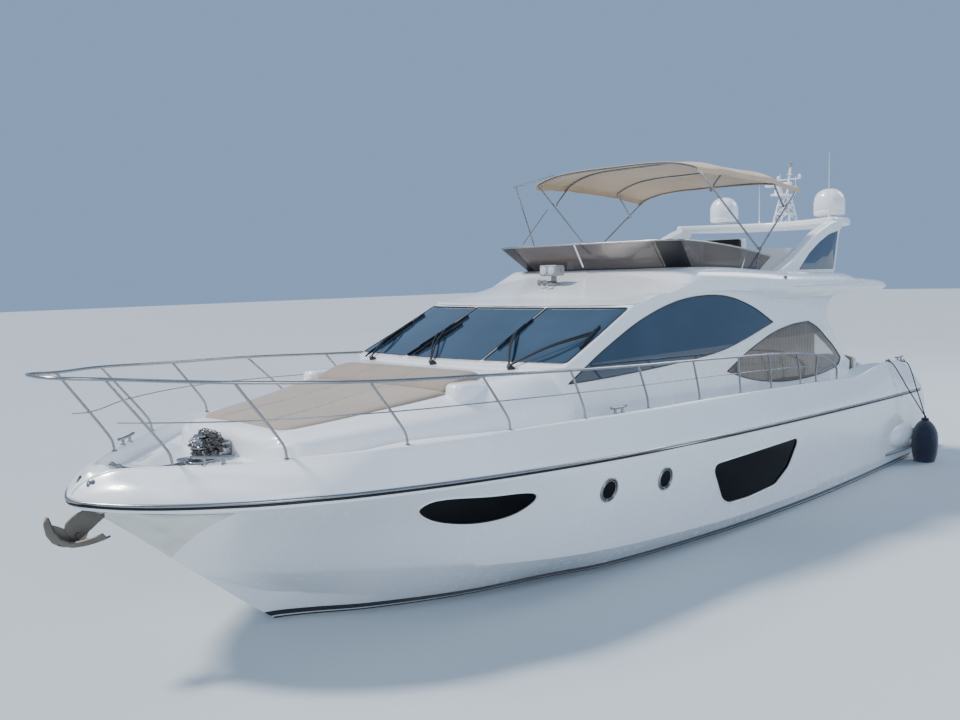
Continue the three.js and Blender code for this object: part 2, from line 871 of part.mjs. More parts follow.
// Radar arch: side view of a leg, plan of the beam that joins the legs
const ARCH_LEG = [
  [-2760, 3900],
  [-2760, 3995],
  [-3300, 4190],
  [-3780, 4440],
  [-4250, 4690],
  [-4880, 4900],
  [-5230, 4955],
  [-5340, 4880],
  [-5330, 4770],
  [-5160, 4690],
  [-4950, 3860],
];
const ARCH_PANEL = [
  [-3560, 4010],
  [-3980, 4280],
  [-4380, 4480],
  [-4760, 4620],
  [-5060, 4660],
  [-4890, 4010],
];
const ARCH_BEAM = [
  [-4850, -1740],
  [-5300, -1200],
  [-5640, -600],
  [-5780, 0],
  [-5640, 600],
  [-5300, 1200],
  [-4850, 1740],
  [-5340, 1745],
  [-5900, 1690],
  [-6380, 1380],
  [-6760, 760],
  [-6900, 0],
  [-6760, -760],
  [-6380, -1380],
  [-5900, -1690],
  [-5340, -1745],
];
const ARCH_LEG_Y = [1560, 1750];
const ARCH_TOP_Z = 4990;
const DOME = { x: -6010, y: 1180, radius: 300 };

function makeArch(flyBody) {
  const [inner, outer] = ARCH_LEG_Y;
  const beam = prismZ(ARCH_BEAM, 4850, ARCH_TOP_Z);
  const leg = cut(prismY(ARCH_LEG, inner, outer), prismY(ARCH_PANEL, outer - 40, outer + 20));
  const arch = join(beam, leg, mirrored(leg));
  place("radar_arch", seated(arch, flyBody), WHITE);
  const panel = prismY(grown(ARCH_PANEL, -5), outer - 40 + GAP, outer - 4);
  place("arch_panel_port", panel, GLASS_SMOKE);
  place("arch_panel_starboard", mirrored(panel), GLASS_SMOKE);
  const profile = [
    [0, 0],
    [150, 0],
    [155, 45],
    [285, 60],
    [300, 110],
    [300, 330],
    [275, 450],
    [200, 550],
    [100, 600],
    [0, 615],
  ];
  for (const [name, y] of [
    ["port", DOME.y],
    ["starboard", -DOME.y],
  ]) {
    place(`sat_dome_${name}`, turned(profile, [DOME.x, y, ARCH_TOP_Z + GAP]), WHITE);
  }
}

// Light mast on the arch, with the radar scanner turning on its platform
const MAST = { x: -6500, y: 0, foot: 190, shelfZ: 5560, topZ: 6290 };
const SCANNER = { x: -6180, z: 5700, half: 300 };

function makeMast() {
  const base = ARCH_TOP_Z + GAP;
  const corners = [
    [1, 1],
    [1, -1],
    [-1, 1],
    [-1, -1],
  ];
  const legs = corners.map(([i, j]) =>
    bar(
      [MAST.x + i * MAST.foot, j * MAST.foot, base + 8],
      [MAST.x + i * 70, j * 70, MAST.shelfZ + 20],
      16,
      6,
    ),
  );
  const plate = box([MAST.x - 230, -230, base], [MAST.x + 230, 230, base + 14]);
  const shelf = box([MAST.x - 130, -150, MAST.shelfZ], [SCANNER.x + 90, 150, MAST.shelfZ + 40]);
  const rungs = [5220, 5400].map((z) => box([MAST.x - 140, -140, z], [MAST.x + 140, 140, z + 22]));
  const gearbox = bar([SCANNER.x, 0, MAST.shelfZ + 20], [SCANNER.x, 0, SCANNER.z], 80, 12);
  const pole = bar([MAST.x - 40, 0, MAST.shelfZ], [MAST.x - 90, 0, MAST.topZ], 22, 8);
  const yard = box([MAST.x - 90, -260, 5900], [MAST.x - 50, 260, 5930]);
  const lamp = bar([MAST.x - 90, 0, MAST.topZ - 110], [MAST.x - 92, 0, MAST.topZ + 20], 50, 10);
  place("light_mast", join(plate, shelf, gearbox, pole, yard, lamp, ...legs, ...rungs), WHITE);
  const blade = box([SCANNER.x - 55, -SCANNER.half, SCANNER.z + 50], [SCANNER.x + 55, SCANNER.half, SCANNER.z + 130]);
  const hub = bar([SCANNER.x, 0, SCANNER.z + GAP], [SCANNER.x, 0, SCANNER.z + 70], 45, 12);
  place("radar_scanner", join(blade, hub), WHITE);
}

function makeSearchlight(flyBody) {
  const foot = bar([1120, 0, 3840], [1120, 0, 3950], 95, 16, 80);
  const neck = bar([1120, 0, 3940], [1120, 0, 4020], 40, 12);
  const head = bar([1010, 0, 4095], [1240, 0, 4075], 100, 16, 112);
  place("searchlight", seated(join(foot, neck, head), flyBody), STEEL);
}

// Sun canopy: four hoops under one sheet
const HOOPS = {
  front: { x: -343, half: 1618, z: 5604, crown: 5870 },
  frontMid: { x: -1170, half: 1612, z: 5630, crown: 5990 },
  aftMid: { x: -2730, half: 1630, z: 5580, crown: 5960 },
  aft: { x: -3620, half: 1655, z: 5446, crown: 5740 },
};
const ARCH_SHARES = [0.98, 0.93, 0.86, 0.76, 0.63, 0.48, 0.31, 0.15];
const FRONT_FOOT_Y = 1745;
const FRONT_MID_SHARE = 0.74; // along the front leg, where the front middle hoop turns
const AFT_MID_SHARE = 0.7;
const SHEET = 22;
const SHEET_LIFT = 13.4; // from a hoop's centre line up to the sheet's underside
const PIN_INSET = 62; // the middle hoops turn on pins this far inboard of the legs

function archPoints({ x, half, z, crown }) {
  const port = ARCH_SHARES.map((s) => [x, half * s, z + (crown - z) * (1 - s ** 2.6)]);
  const starboard = port.map(([px, py, pz]) => [px, -py, pz]).reverse();
  return [...port, [x, 0, crown], ...starboard];
}

function along(a, b, share) {
  return a.map((v, i) => v + (b[i] - v) * share);
}

function hoop(spec, footX, footY, footZ) {
  const foot = [footX, footY, footZ];
  const corner = [spec.x, spec.half, spec.z];
  const leg = [foot, along(foot, corner, 0.5), along(foot, corner, 0.95)];
  const other = leg.map(([x, y, z]) => [x, -y, z]).reverse();
  return tube([...leg, ...archPoints(spec), ...other], BOW_R);
}

function legPoint(spec, footY, share) {
  const [px, , pz] = HOOP_PIVOT;
  return along([px, footY, pz], [spec.x, spec.half, spec.z], share);
}

function makeCanopy(flyBody) {
  const [px, py, pz] = HOOP_PIVOT;
  const frontFeet = [1, -1].map((side) => {
    const y = side * FRONT_FOOT_Y;
    return bar([px, y - 14, pz], [px, y + 14, pz], 20, 12);
  });
  const frontPin = legPoint(HOOPS.front, FRONT_FOOT_Y, FRONT_MID_SHARE);
  const aftPin = legPoint(HOOPS.aft, py, AFT_MID_SHARE);
  const pins = (at) =>
    [1, -1].map((side) => bar([at[0], side * at[1], at[2]], [at[0], side * (at[1] - PIN_INSET + 14 + GAP), at[2]], 7));
  const front = join(hoop(HOOPS.front, px, FRONT_FOOT_Y, pz), ...frontFeet, ...pins(frontPin));
  place("canopy_front_bow", front, STEEL);
  const posts = [1, -1].map((side) =>
    join(
      bar([px + 160, side * py, 3900], [px, side * py, pz], BOW_R),
      bar([px, side * (FRONT_FOOT_Y + 14.4), pz], [px, side * (py + 20), pz], 20, 12),
    ),
  );
  const aft = join(hoop(HOOPS.aft, px, py, pz), ...posts, ...pins(aftPin));
  place("canopy_aft_bow", seated(aft, flyBody), STEEL);
  const midFeet = (at) =>
    [1, -1].map((side) => {
      const y = side * (at[1] - PIN_INSET);
      return bar([at[0], y - 14, at[2]], [at[0], y + 14, at[2]], 17, 10);
    });
  const mids = [
    ["canopy_front_mid_bow", { ...HOOPS.frontMid, half: frontPin[1] - PIN_INSET }, frontPin],
    ["canopy_aft_mid_bow", { ...HOOPS.aftMid, half: aftPin[1] - PIN_INSET }, aftPin],
  ];
  for (const [name, spec, pin] of mids) {
    place(name, join(hoop(spec, pin[0], pin[1] - PIN_INSET, pin[2]), ...midFeet(pin)), STEEL);
  }
  const sheetRow = (spec, overhang = 0) => {
    const line = archPoints({ ...spec, half: spec.half + 14 }).reverse();
    return line.map(([, y, z]) => [spec.x + overhang, y, z + SHEET_LIFT]);
  };
  const [frontMid, aftMid] = mids.map(([, spec]) => sheetRow(spec));
  const frontRows = [sheetRow(HOOPS.front, 30), sheetRow(HOOPS.front)];
  const aftRows = [sheetRow(HOOPS.aft), sheetRow(HOOPS.aft, -30)];
  const rows = [...frontRows, frontMid, aftMid, ...aftRows];
  const strips = rows[0].map((_, i) => {
    const under = rows.map((row) => row[i]);
    const over = under.map(([x, y, z]) => [x, y, z + SHEET]).reverse();
    return [...under, ...over];
  });
  place("canopy_fabric", loft(strips), BEIGE);
}

// Bow rail: tops and feet of the port stanchions, from the bow aft
const STANCHIONS = [
  { foot: [8016, 673], top: [8620, 600, 3120] },
  { foot: [7184, 1496], top: [7760, 1500, 3060] },
  { foot: [6095, 2090], top: [6567, 2073, 2989] },
  { foot: [4700, 0], top: [5260, 2380, 2945] },
  { foot: [3420, 0], top: [3830, 2450, 2880] },
  { foot: [2100, 0], top: [2480, 2470, 2825] },
  { foot: [800, 0], top: [1150, 2460, 2780] },
  { foot: [-400, 0], top: [-130, 2440, 2730] },
  { foot: [-1400, 0], top: [-1120, 2420, 2690] },
  { foot: [-2450, 0], top: [-2110, 2400, 2630] },
  { foot: [-3050, 0], top: [-2930, 2380, 2540] },
];
const RAIL_TIP = [9083, 0, 3160];
const RAIL_END = [-3900, 0];

function railFoot(x, y = 0) {
  const edge = Math.min(y || Infinity, crestY(x) - 42);
  return [x, edge, crestZ(x) - 30];
}

function makeBowRail(deck) {
  const tops = STANCHIONS.map((row) => row.top);
  const end = railFoot(RAIL_END[0]);
  const port = [[8990, 330, 3150], ...tops, [-3500, 2350, 2400], [end[0], end[1], 2200], end];
  const starboard = port.map(([x, y, z]) => [x, -y, z]).reverse();
  const top = tube([...starboard, RAIL_TIP, ...port], RAIL_R, 2);
  const posts = STANCHIONS.flatMap(({ foot, top: [x, y, z] }) => {
    const low = railFoot(...foot);
    const knee = [low[0] + 20, low[1], low[2] + 130];
    const port = tube([low, knee, [x, y, z]], 13, 1, 5);
    return [port, mirrored(port)];
  });
  const rail = seated(join(top, ...posts), deck);
  place("bow_rail_port", rail.intersect(box([-5000, GAP / 2, 0], [10000, 4000, 5000])), STEEL);
  place("bow_rail_starboard", rail.intersect(box([-5000, -4000, 0], [10000, -GAP / 2, 5000])), STEEL);
}

// Pieces on the foredeck
function makeForedeck(deck) {
  const z = 2080;
  const drum = turned(
    [
      [0, 0],
      [150, 0],
      [150, 130],
      [100, 150],
      [80, 190],
      [110, 250],
      [100, 300],
      [0, 300],
    ],
    [7420, 0, z],
    16,
  );
  const gearCase = box([7300, -130, z], [7640, 130, z + 170]);
  place("windlass", seated(join(drum, gearCase), deck), STEEL);
  const pad = loft(
    [
      { x: 6830, half: 850, top: 2500 },
      { x: 6740, half: 960, top: 2540 },
      { x: 5900, half: 1120, top: 2600 },
      { x: 4920, half: 1360, top: 2730 },
      { x: 4860, half: 1340, top: 2720 },
    ].map(({ x, half, top }) =>
      mirroredRing([
        [x, 0, top - 200],
        [x, half, top - 200],
        [x, half, top - 30],
        [x, half - 40, top],
        [x, 0, top + 22],
      ]),
    ),
  );
  place("sunpad", seated(pad, deck), BEIGE);
  const rest = loft(
    [
      { x: 4830, half: 1290, top: 2730 },
      { x: 4700, half: 1320, top: 2850 },
      { x: 4480, half: 1320, top: 2930 },
      { x: 4360, half: 1300, top: 2900 },
    ].map(({ x, half, top }) =>
      mirroredRing([
        [x, 0, top - 260],
        [x, half, top - 260],
        [x, half, top - 30],
        [x, half - 50, top],
        [x, 0, top + 10],
      ]),
    ),
  );
  place("sunpad_backrest", seated(rest, deck), TAUPE);
}

function makeAnchor(hull) {
  const shank = bar([8380, 0, 1740], [8900, 0, 1440], 34, 8);
  const fluke = loft([
    [
      [8600, 0, 1330],
      [8560, 250, 1420],
      [8600, 0, 1390],
      [8560, -250, 1420],
    ],
    [
      [8850, 0, 1350],
      [8880, 190, 1470],
      [8850, 0, 1460],
      [8880, -190, 1470],
    ],
    [
      [9060, 0, 1520],
      [9060, 30, 1545],
      [9060, 0, 1560],
      [9060, -30, 1545],
    ],
  ]);
  place("anchor", seated(join(shank, fluke), hull, [GAP, 0, -GAP]), STEEL);
}

// Fender at the port quarter, hung from two lines
const LINE_STARTS = [-7250, -6350];
const FENDER = { x: -7480, y: 2620, z: 400, radius: 290, half: 500 };

function makeFender(deck) {
  const { x, y, z, radius, half } = FENDER;
  const profile = [
    [0, -half],
    [120, -half + 10],
    [radius * 0.8, -half * 0.7],
    [radius, -half * 0.3],
    [radius, half * 0.25],
    [radius * 0.75, half * 0.62],
    [radius * 0.3, half * 0.85],
    [60, half * 0.9],
    [60, half],
    [0, half],
  ];
  place("fender", turned(profile, [x, y, z], 16), NAVY);
  const eye = [x, y, z + half + 20];
  const ropes = LINE_STARTS.map((at) => {
    const over = [at, crestY(at) - 30, crestZ(at) - 5];
    const edge = [at - 10, crestY(at) + 38, crestZ(at) - 35];
    return tube([[at, crestY(at) - 60, crestZ(at) - 5], over, edge, along(edge, eye, 0.5), eye], 11, 3);
  });
  const lines = join(...ropes, bar([x, y, z + half + GAP], [x, y, z + half + 45], 24, 8));
  place("fender_lines", seated(lines, deck, [0, GAP, GAP]), NAVY);
}

function makeSwimPlatform(hull) {
  const outline = [
    [-7900, -2080],
    [-8950, -2080],
    [-9180, -1950],
    [-9290, -1700],
    [-9340, -900],
    [-9340, 900],
    [-9290, 1700],
    [-9180, 1950],
    [-8950, 2080],
    [-7900, 2080],
  ];
  const slab = cut(prismZ(outline, 330, 430), box([-8370, -2100, 405], [-7000, 2100, 500]));
  place("swim_platform", seated(slab, hull, [-GAP, 0, 0]), TEAK);
}

// Propellers on their shafts, and rudders
const BLADES = 4;
const PROP_SHARE = 0.965;

function makeRunningGear() {
  for (const [name, side] of [
    ["port", 1],
    ["starboard", -1],
  ]) {
    const shaft = bar(shaftPoint(-0.03, side), shaftPoint(1, side), SHAFT_R, ROUND);
    const hub = bar(shaftPoint(PROP_SHARE - 0.03, side), shaftPoint(PROP_SHARE + 0.03, side), 75, 16, 60);
    const centre = new THREE.Vector3(...shaftPoint(PROP_SHARE, side));
    const axis = new THREE.Vector3(...shaftPoint(1, side)).sub(new THREE.Vector3(...shaftPoint(0, side))).normalize();
    const facing = new THREE.Quaternion().setFromUnitVectors(new THREE.Vector3(1, 0, 0), axis);
    const outline = roundedOutline(
      [
        [-70, 40],
        [-150, 200],
        [-110, 340],
        [0, PROP_R],
        [110, 340],
        [150, 200],
        [70, 40],
      ],
      14,
    );
    const blades = [];
    for (let i = 0; i < BLADES; i++) {
      const blade = new THREE.ExtrudeGeometry(shapeOf(outline), { depth: 14, bevelEnabled: false });
      blade.translate(0, 0, -7);
      blade.rotateY(Math.PI / 2 + side * 0.6);
      blade.rotateX(Math.PI / 2);
      blade.rotateX((2 * Math.PI * i) / BLADES);
      blade.applyQuaternion(facing);
      blade.translate(centre.x, centre.y, centre.z);
      blades.push(solidOf(blade));
    }
    place(`propeller_${name}`, join(shaft, hub, ...blades), BRONZE);
    const stock = bar([RUDDER_X, side * SHAFT_Y, -320], [RUDDER_X, side * SHAFT_Y, -800], STOCK_R, ROUND);
    const foil = prismZ(
      [
        [-7330, side * SHAFT_Y],
        [-7390, side * SHAFT_Y + 26],
        [-7560, side * SHAFT_Y + 30],
        [-7820, side * SHAFT_Y + 6],
        [-7820, side * SHAFT_Y - 6],
        [-7560, side * SHAFT_Y - 30],
        [-7390, side * SHAFT_Y - 26],
      ],
      -1420,
      -730,
    );
    place(`rudder_${name}`, join(stock, foil), BRONZE);
  }
}

const ENGINE_BAY = { low: [-6600, -1500, 150], high: [-4350, 1500, 1200] };
const HATCH = { low: [-6400, -1300, 1320], high: [-4550, 1300, COCKPIT_FLOOR_Z] };
const LOCKER_LID = { low: [7760, -230, 2080], high: [8120, 230, 2400] };

function makeEngines() {
  const floor = ENGINE_BAY.low[2] + GAP;
  for (const [name, y0, y1] of [
    ["port", 350, 1150],
    ["starboard", -1150, -350],
  ]) {
    place(`engine_${name}`, box([-6250, y0, floor], [-4700, y1, floor + 980]), GREY);
  }
}

// Deck moulding with its cockpit, steps, saloon pocket and anchor locker
const STEPS = [
  { x: -7150, z: 1160 },
  { x: -7430, z: 930 },
  { x: -7710, z: 700 },
  { x: -7990, z: 440 },
];
const STEP_Y = [1330, 1900];

function stepCuts() {
  const [inner, outer] = STEP_Y;
  return STEPS.flatMap(({ x, z }) => [
    box([-9000, inner, z], [x, outer, 3000]),
    box([-9000, -outer, z], [x, -inner, 3000]),
  ]);
}

function cockpitCut() {
  return box([COCKPIT_AFT_X, -1830, COCKPIT_FLOOR_Z], [BULKHEAD_X - 90, 1830, 3000]);
}

function saloonPocket() {
  const rings = SHELL_LEVELS.slice(0, 4).map((level) => shellRing(level, -GAP));
  rings.push(rings[3].map(([x, y]) => [x, y, 3200]));
  return loft(rings);
}

function bench() {
  const seat = box([COCKPIT_AFT_X + GAP, -1300, COCKPIT_FLOOR_Z + GAP], [-6500, 1300, 1830]);
  const back = box([COCKPIT_AFT_X + GAP, -1300, 1820], [-7000, 1300, 2230]);
  return join(seat, back);
}

function makeDeck() {
  const skin = loft(HULL_STATIONS.map(deckRing));
  const roof = loft(COACHROOF.map(coachroofRing));
  const locker = box([7780, -210, 1960], [8100, 210, 2400]);
  const lidSeat = box([7754, -236, LOCKER_LID.low[2] - GAP], [8126, 236, 2400]);
  const body = cut(
    join(skin, roof).intersect(sternTrim),
    cockpitCut(),
    ...stepCuts(),
    saloonPocket(),
    locker,
    lidSeat,
  );
  const [stepY] = STEP_Y;
  const aftBlock = box([-9000, -stepY, 1000], [COCKPIT_AFT_X, stepY, 3000]);
  place("deck_moulding", body.subtract(aftBlock), WHITE);
  place("aft_coaming", body.intersect(aftBlock), WHITE);
  place("anchor_locker_lid", skin.intersect(box(LOCKER_LID.low, LOCKER_LID.high)), WHITE);
  place("engine_hatch", box([HATCH.low[0], HATCH.low[1], HATCH.low[2] + GAP], HATCH.high), TEAK);
  place("cockpit_bench", bench(), BEIGE);
  return body;
}

const hull = makeHull();
const deck = makeDeck();
const flyBody = makeFlybridge();
makeSaloon(flyBody);
makeDoors();
makeInterior();
makeFlyInterior();
makeArch(flyBody);
makeMast();
makeSearchlight(flyBody);
makeCanopy(flyBody);
makeBowRail(deck);
makeForedeck(deck);
makeAnchor(hull);
makeFender(deck);
makeSwimPlatform(hull);
makeRunningGear();
makeEngines();

export default yacht;
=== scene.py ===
import math

import bmesh
import bpy
import numpy as np
from bpy.props import FloatProperty, FloatVectorProperty, IntProperty, PointerProperty
from mathutils import Matrix, Vector
from mathutils.bvhtree import BVHTree


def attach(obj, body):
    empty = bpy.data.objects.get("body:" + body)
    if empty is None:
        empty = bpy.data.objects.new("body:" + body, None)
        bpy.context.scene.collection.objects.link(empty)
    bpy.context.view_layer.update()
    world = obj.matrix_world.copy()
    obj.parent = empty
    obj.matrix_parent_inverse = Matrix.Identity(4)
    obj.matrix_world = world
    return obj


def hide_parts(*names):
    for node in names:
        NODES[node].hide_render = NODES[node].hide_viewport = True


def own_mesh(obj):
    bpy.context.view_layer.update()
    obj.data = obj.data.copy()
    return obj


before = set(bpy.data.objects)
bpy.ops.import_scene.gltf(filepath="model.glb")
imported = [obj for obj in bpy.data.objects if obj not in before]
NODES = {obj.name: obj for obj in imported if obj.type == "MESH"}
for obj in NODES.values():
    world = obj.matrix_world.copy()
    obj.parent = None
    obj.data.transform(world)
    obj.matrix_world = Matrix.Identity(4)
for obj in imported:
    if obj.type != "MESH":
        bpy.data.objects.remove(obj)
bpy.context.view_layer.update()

# A flybridge motor yacht of about 18 m, afloat at z = 0. Metres, +X to the bow, +Y to port, +Z up.

bl_info = {
    "name": "Flybridge Motor Yacht",
    "version": (1, 0, 0),
    "blender": (4, 5, 0),
    "location": "View3D > Sidebar > Yacht",
    "description": "Dresses the packed frame of a flybridge motor yacht, piece by piece",
    "category": "Object",
}

SEAT_GAP = 0.0004  # between a piece and what it stands on
UP = (0, 0, 1)
SIDES = (("port", 1), ("starboard", -1))


# Colours and sizes


def colour(name, text, default):
    return FloatVectorProperty(
        name=name, description=text, subtype="COLOR", size=3, min=0.0, max=1.0, default=default
    )


def length(name, text, default, low=0.0, high=1.0):
    return FloatProperty(
        name=name, description=text, subtype="DISTANCE", unit="LENGTH", min=low, max=high, default=default
    )


class YachtColours(bpy.types.PropertyGroup):
    gelcoat: colour("Gelcoat", "Topsides, deck and superstructure", (0.83, 0.85, 0.87))
    boot: colour("Boot stripe", "Band along the waterline", (0.006, 0.007, 0.009))
    antifouling: colour("Antifouling", "Bottom below the waterline", (0.012, 0.016, 0.026))
    glass: colour("Cabin glass", "Tint of the windscreen and the side windows", (0.022, 0.045, 0.075))
    smoke: colour("Smoked glass", "Wind deflector", (0.075, 0.055, 0.048))
    canopy: colour("Canopy", "Cloth of the sun canopy", (0.6, 0.45, 0.3))
    cushion: colour("Cushions", "Sunpad and cockpit bench", (0.36, 0.3, 0.245))
    backrest: colour("Backrest", "Sunpad backrest", (0.3, 0.245, 0.195))
    fender: colour("Fender", "Knitted fender cover and its lines", (0.008, 0.012, 0.03))
    teak: colour("Teak", "Platform, steps and cockpit sole", (0.34, 0.19, 0.09))


class YachtSizes(bpy.types.PropertyGroup):
    rail_radius: length("Rail radius", "Half the diameter of the top rail", 0.018, 0.008, 0.03)
    post_radius: length("Stanchion radius", "Half the diameter of a stanchion", 0.0145, 0.006, 0.03)
    wire_radius: length("Mid rail radius", "Half the diameter of the thin rail", 0.007, 0.002, 0.02)
    hoop_radius: length("Hoop radius", "Half the diameter of a canopy hoop", 0.016, 0.006, 0.03)
    canopy_sag: length("Canopy sag", "How far the cloth hangs between two hoops", 0.018, 0.0, 0.1)
    chain_link: length("Chain link", "Length of one link of the anchor chain", 0.048, 0.02, 0.1)
    rub_strip: length("Rub strip", "Half height of the stainless rub rail", 0.019, 0.008, 0.05)
    boot_top: length("Boot stripe top", "Height of the boot stripe's upper edge", 0.11, 0.0, 0.3)
    curtain_folds: IntProperty(name="Curtain folds", description="Pleats a side", default=26, min=4, max=60)


def colours():
    return bpy.context.scene.yacht_colours


def sizes():
    return bpy.context.scene.yacht_sizes


# Curves


def curve(*rows):
    """A smooth function through rows of (at, value), flat beyond its ends."""
    rows = sorted(rows)
    at = np.array([row[0] for row in rows], float)
    value = np.array([row[1] for row in rows], float)
    before = np.maximum(np.arange(len(rows)) - 1, 0)
    after = np.minimum(np.arange(len(rows)) + 1, len(rows) - 1)
    slope = (value[after] - value[before]) / (at[after] - at[before])

    def read(x):
        x = min(max(x, at[0]), at[-1])
        i = int(min(max(np.searchsorted(at, x, side="right") - 1, 0), len(at) - 2))
        span = at[i + 1] - at[i]
        t = (x - at[i]) / span
        ease = t * t * (3 - 2 * t)
        start = t * (1 - t) ** 2 * span * slope[i]
        end = t * t * (t - 1) * span * slope[i + 1]
        return float(value[i] * (1 - ease) + value[i + 1] * ease + start + end)

    return read


def columns(rows, count):
    """A smooth function for each column of a table after its first."""
    return [curve(*[(row[0], row[k]) for row in rows]) for k in range(1, count + 1)]


def spline(points, per, closed=False):
    """A smooth line through points, with some steps from each point to the next."""
    pts = [np.array(p, float) for p in points]
    count = len(pts)
    spans = count if closed else count - 1
    line = []
    for i in range(spans):
        if closed:
            p0, p1, p2, p3 = (pts[(i + k) % count] for k in (-1, 0, 1, 2))
        else:
            p1, p2 = pts[i], pts[i + 1]
            p0 = pts[i - 1] if i else 2 * p1 - p2
            p3 = pts[i + 2] if i + 2 < count else 2 * p2 - p1
        d0, d1, d2 = (max(np.linalg.norm(b - a) ** 0.5, 1e-6) for a, b in ((p0, p1), (p1, p2), (p2, p3)))
        m1 = (p1 - p0) / d0 - (p2 - p0) / (d0 + d1) + (p2 - p1) / d1
        m2 = (p2 - p1) / d1 - (p3 - p1) / (d1 + d2) + (p3 - p2) / d2
        m1, m2 = m1 * d1, m2 * d1
        for k in range(per):
            t = k / per
            a = 2 * t**3 - 3 * t**2 + 1
            b = t**3 - 2 * t**2 + t
            c = -2 * t**3 + 3 * t**2
            d = t**3 - t**2
            line.append(a * p1 + b * m1 + c * p2 + d * m2)
    if not closed:
        line.append(pts[-1])
    return np.array(line)


def bent(points, corners, per):
    """A line that is smooth from corner to corner and turns sharply at each."""
    stops = [0, *corners, len(points) - 1]
    line = [points[0]]
    for a, b in zip(stops, stops[1:]):
        part = spline(points[a : b + 1], per if b - a > 1 else 1)
        line.extend(part[1:])
    return np.array(line)


def spaced(points, step, closed=False):
    """A line cut into equal steps of about the given length."""
    pts = np.array(points, float)
    if closed:
        pts = np.vstack([pts, pts[:1]])
    far = np.concatenate([[0], np.cumsum(np.linalg.norm(np.diff(pts, axis=0), axis=1))])
    count = max(int(round(far[-1] / step)), 3)
    at = np.linspace(0, far[-1], count + 1)
    even = np.stack([np.interp(at, far, pts[:, k]) for k in range(pts.shape[1])], axis=1)
    return even[:-1] if closed else even


def grown(points, by):
    """A closed outline moved outward by a distance, or inward where it is negative."""
    pts = np.array(points, float)
    ahead = np.roll(pts, -1, axis=0) - np.roll(pts, 1, axis=0)
    ahead /= np.linalg.norm(ahead, axis=1)[:, None]
    turn = np.sum(pts[:, 0] * np.roll(pts[:, 1], -1) - pts[:, 1] * np.roll(pts[:, 0], -1))
    out = np.stack([ahead[:, 1], -ahead[:, 0]], axis=1) * (1 if turn > 0 else -1)
    return pts + out * by


def mirror(points):
    return np.array(points, float) * [1, -1, 1]


# Meshes


def round_line(radius, count):
    """Places round a circle in a plane, about its middle."""
    turns = [2 * math.pi * k / count for k in range(count)]
    return [(radius * math.cos(a), radius * math.sin(a)) for a in turns]


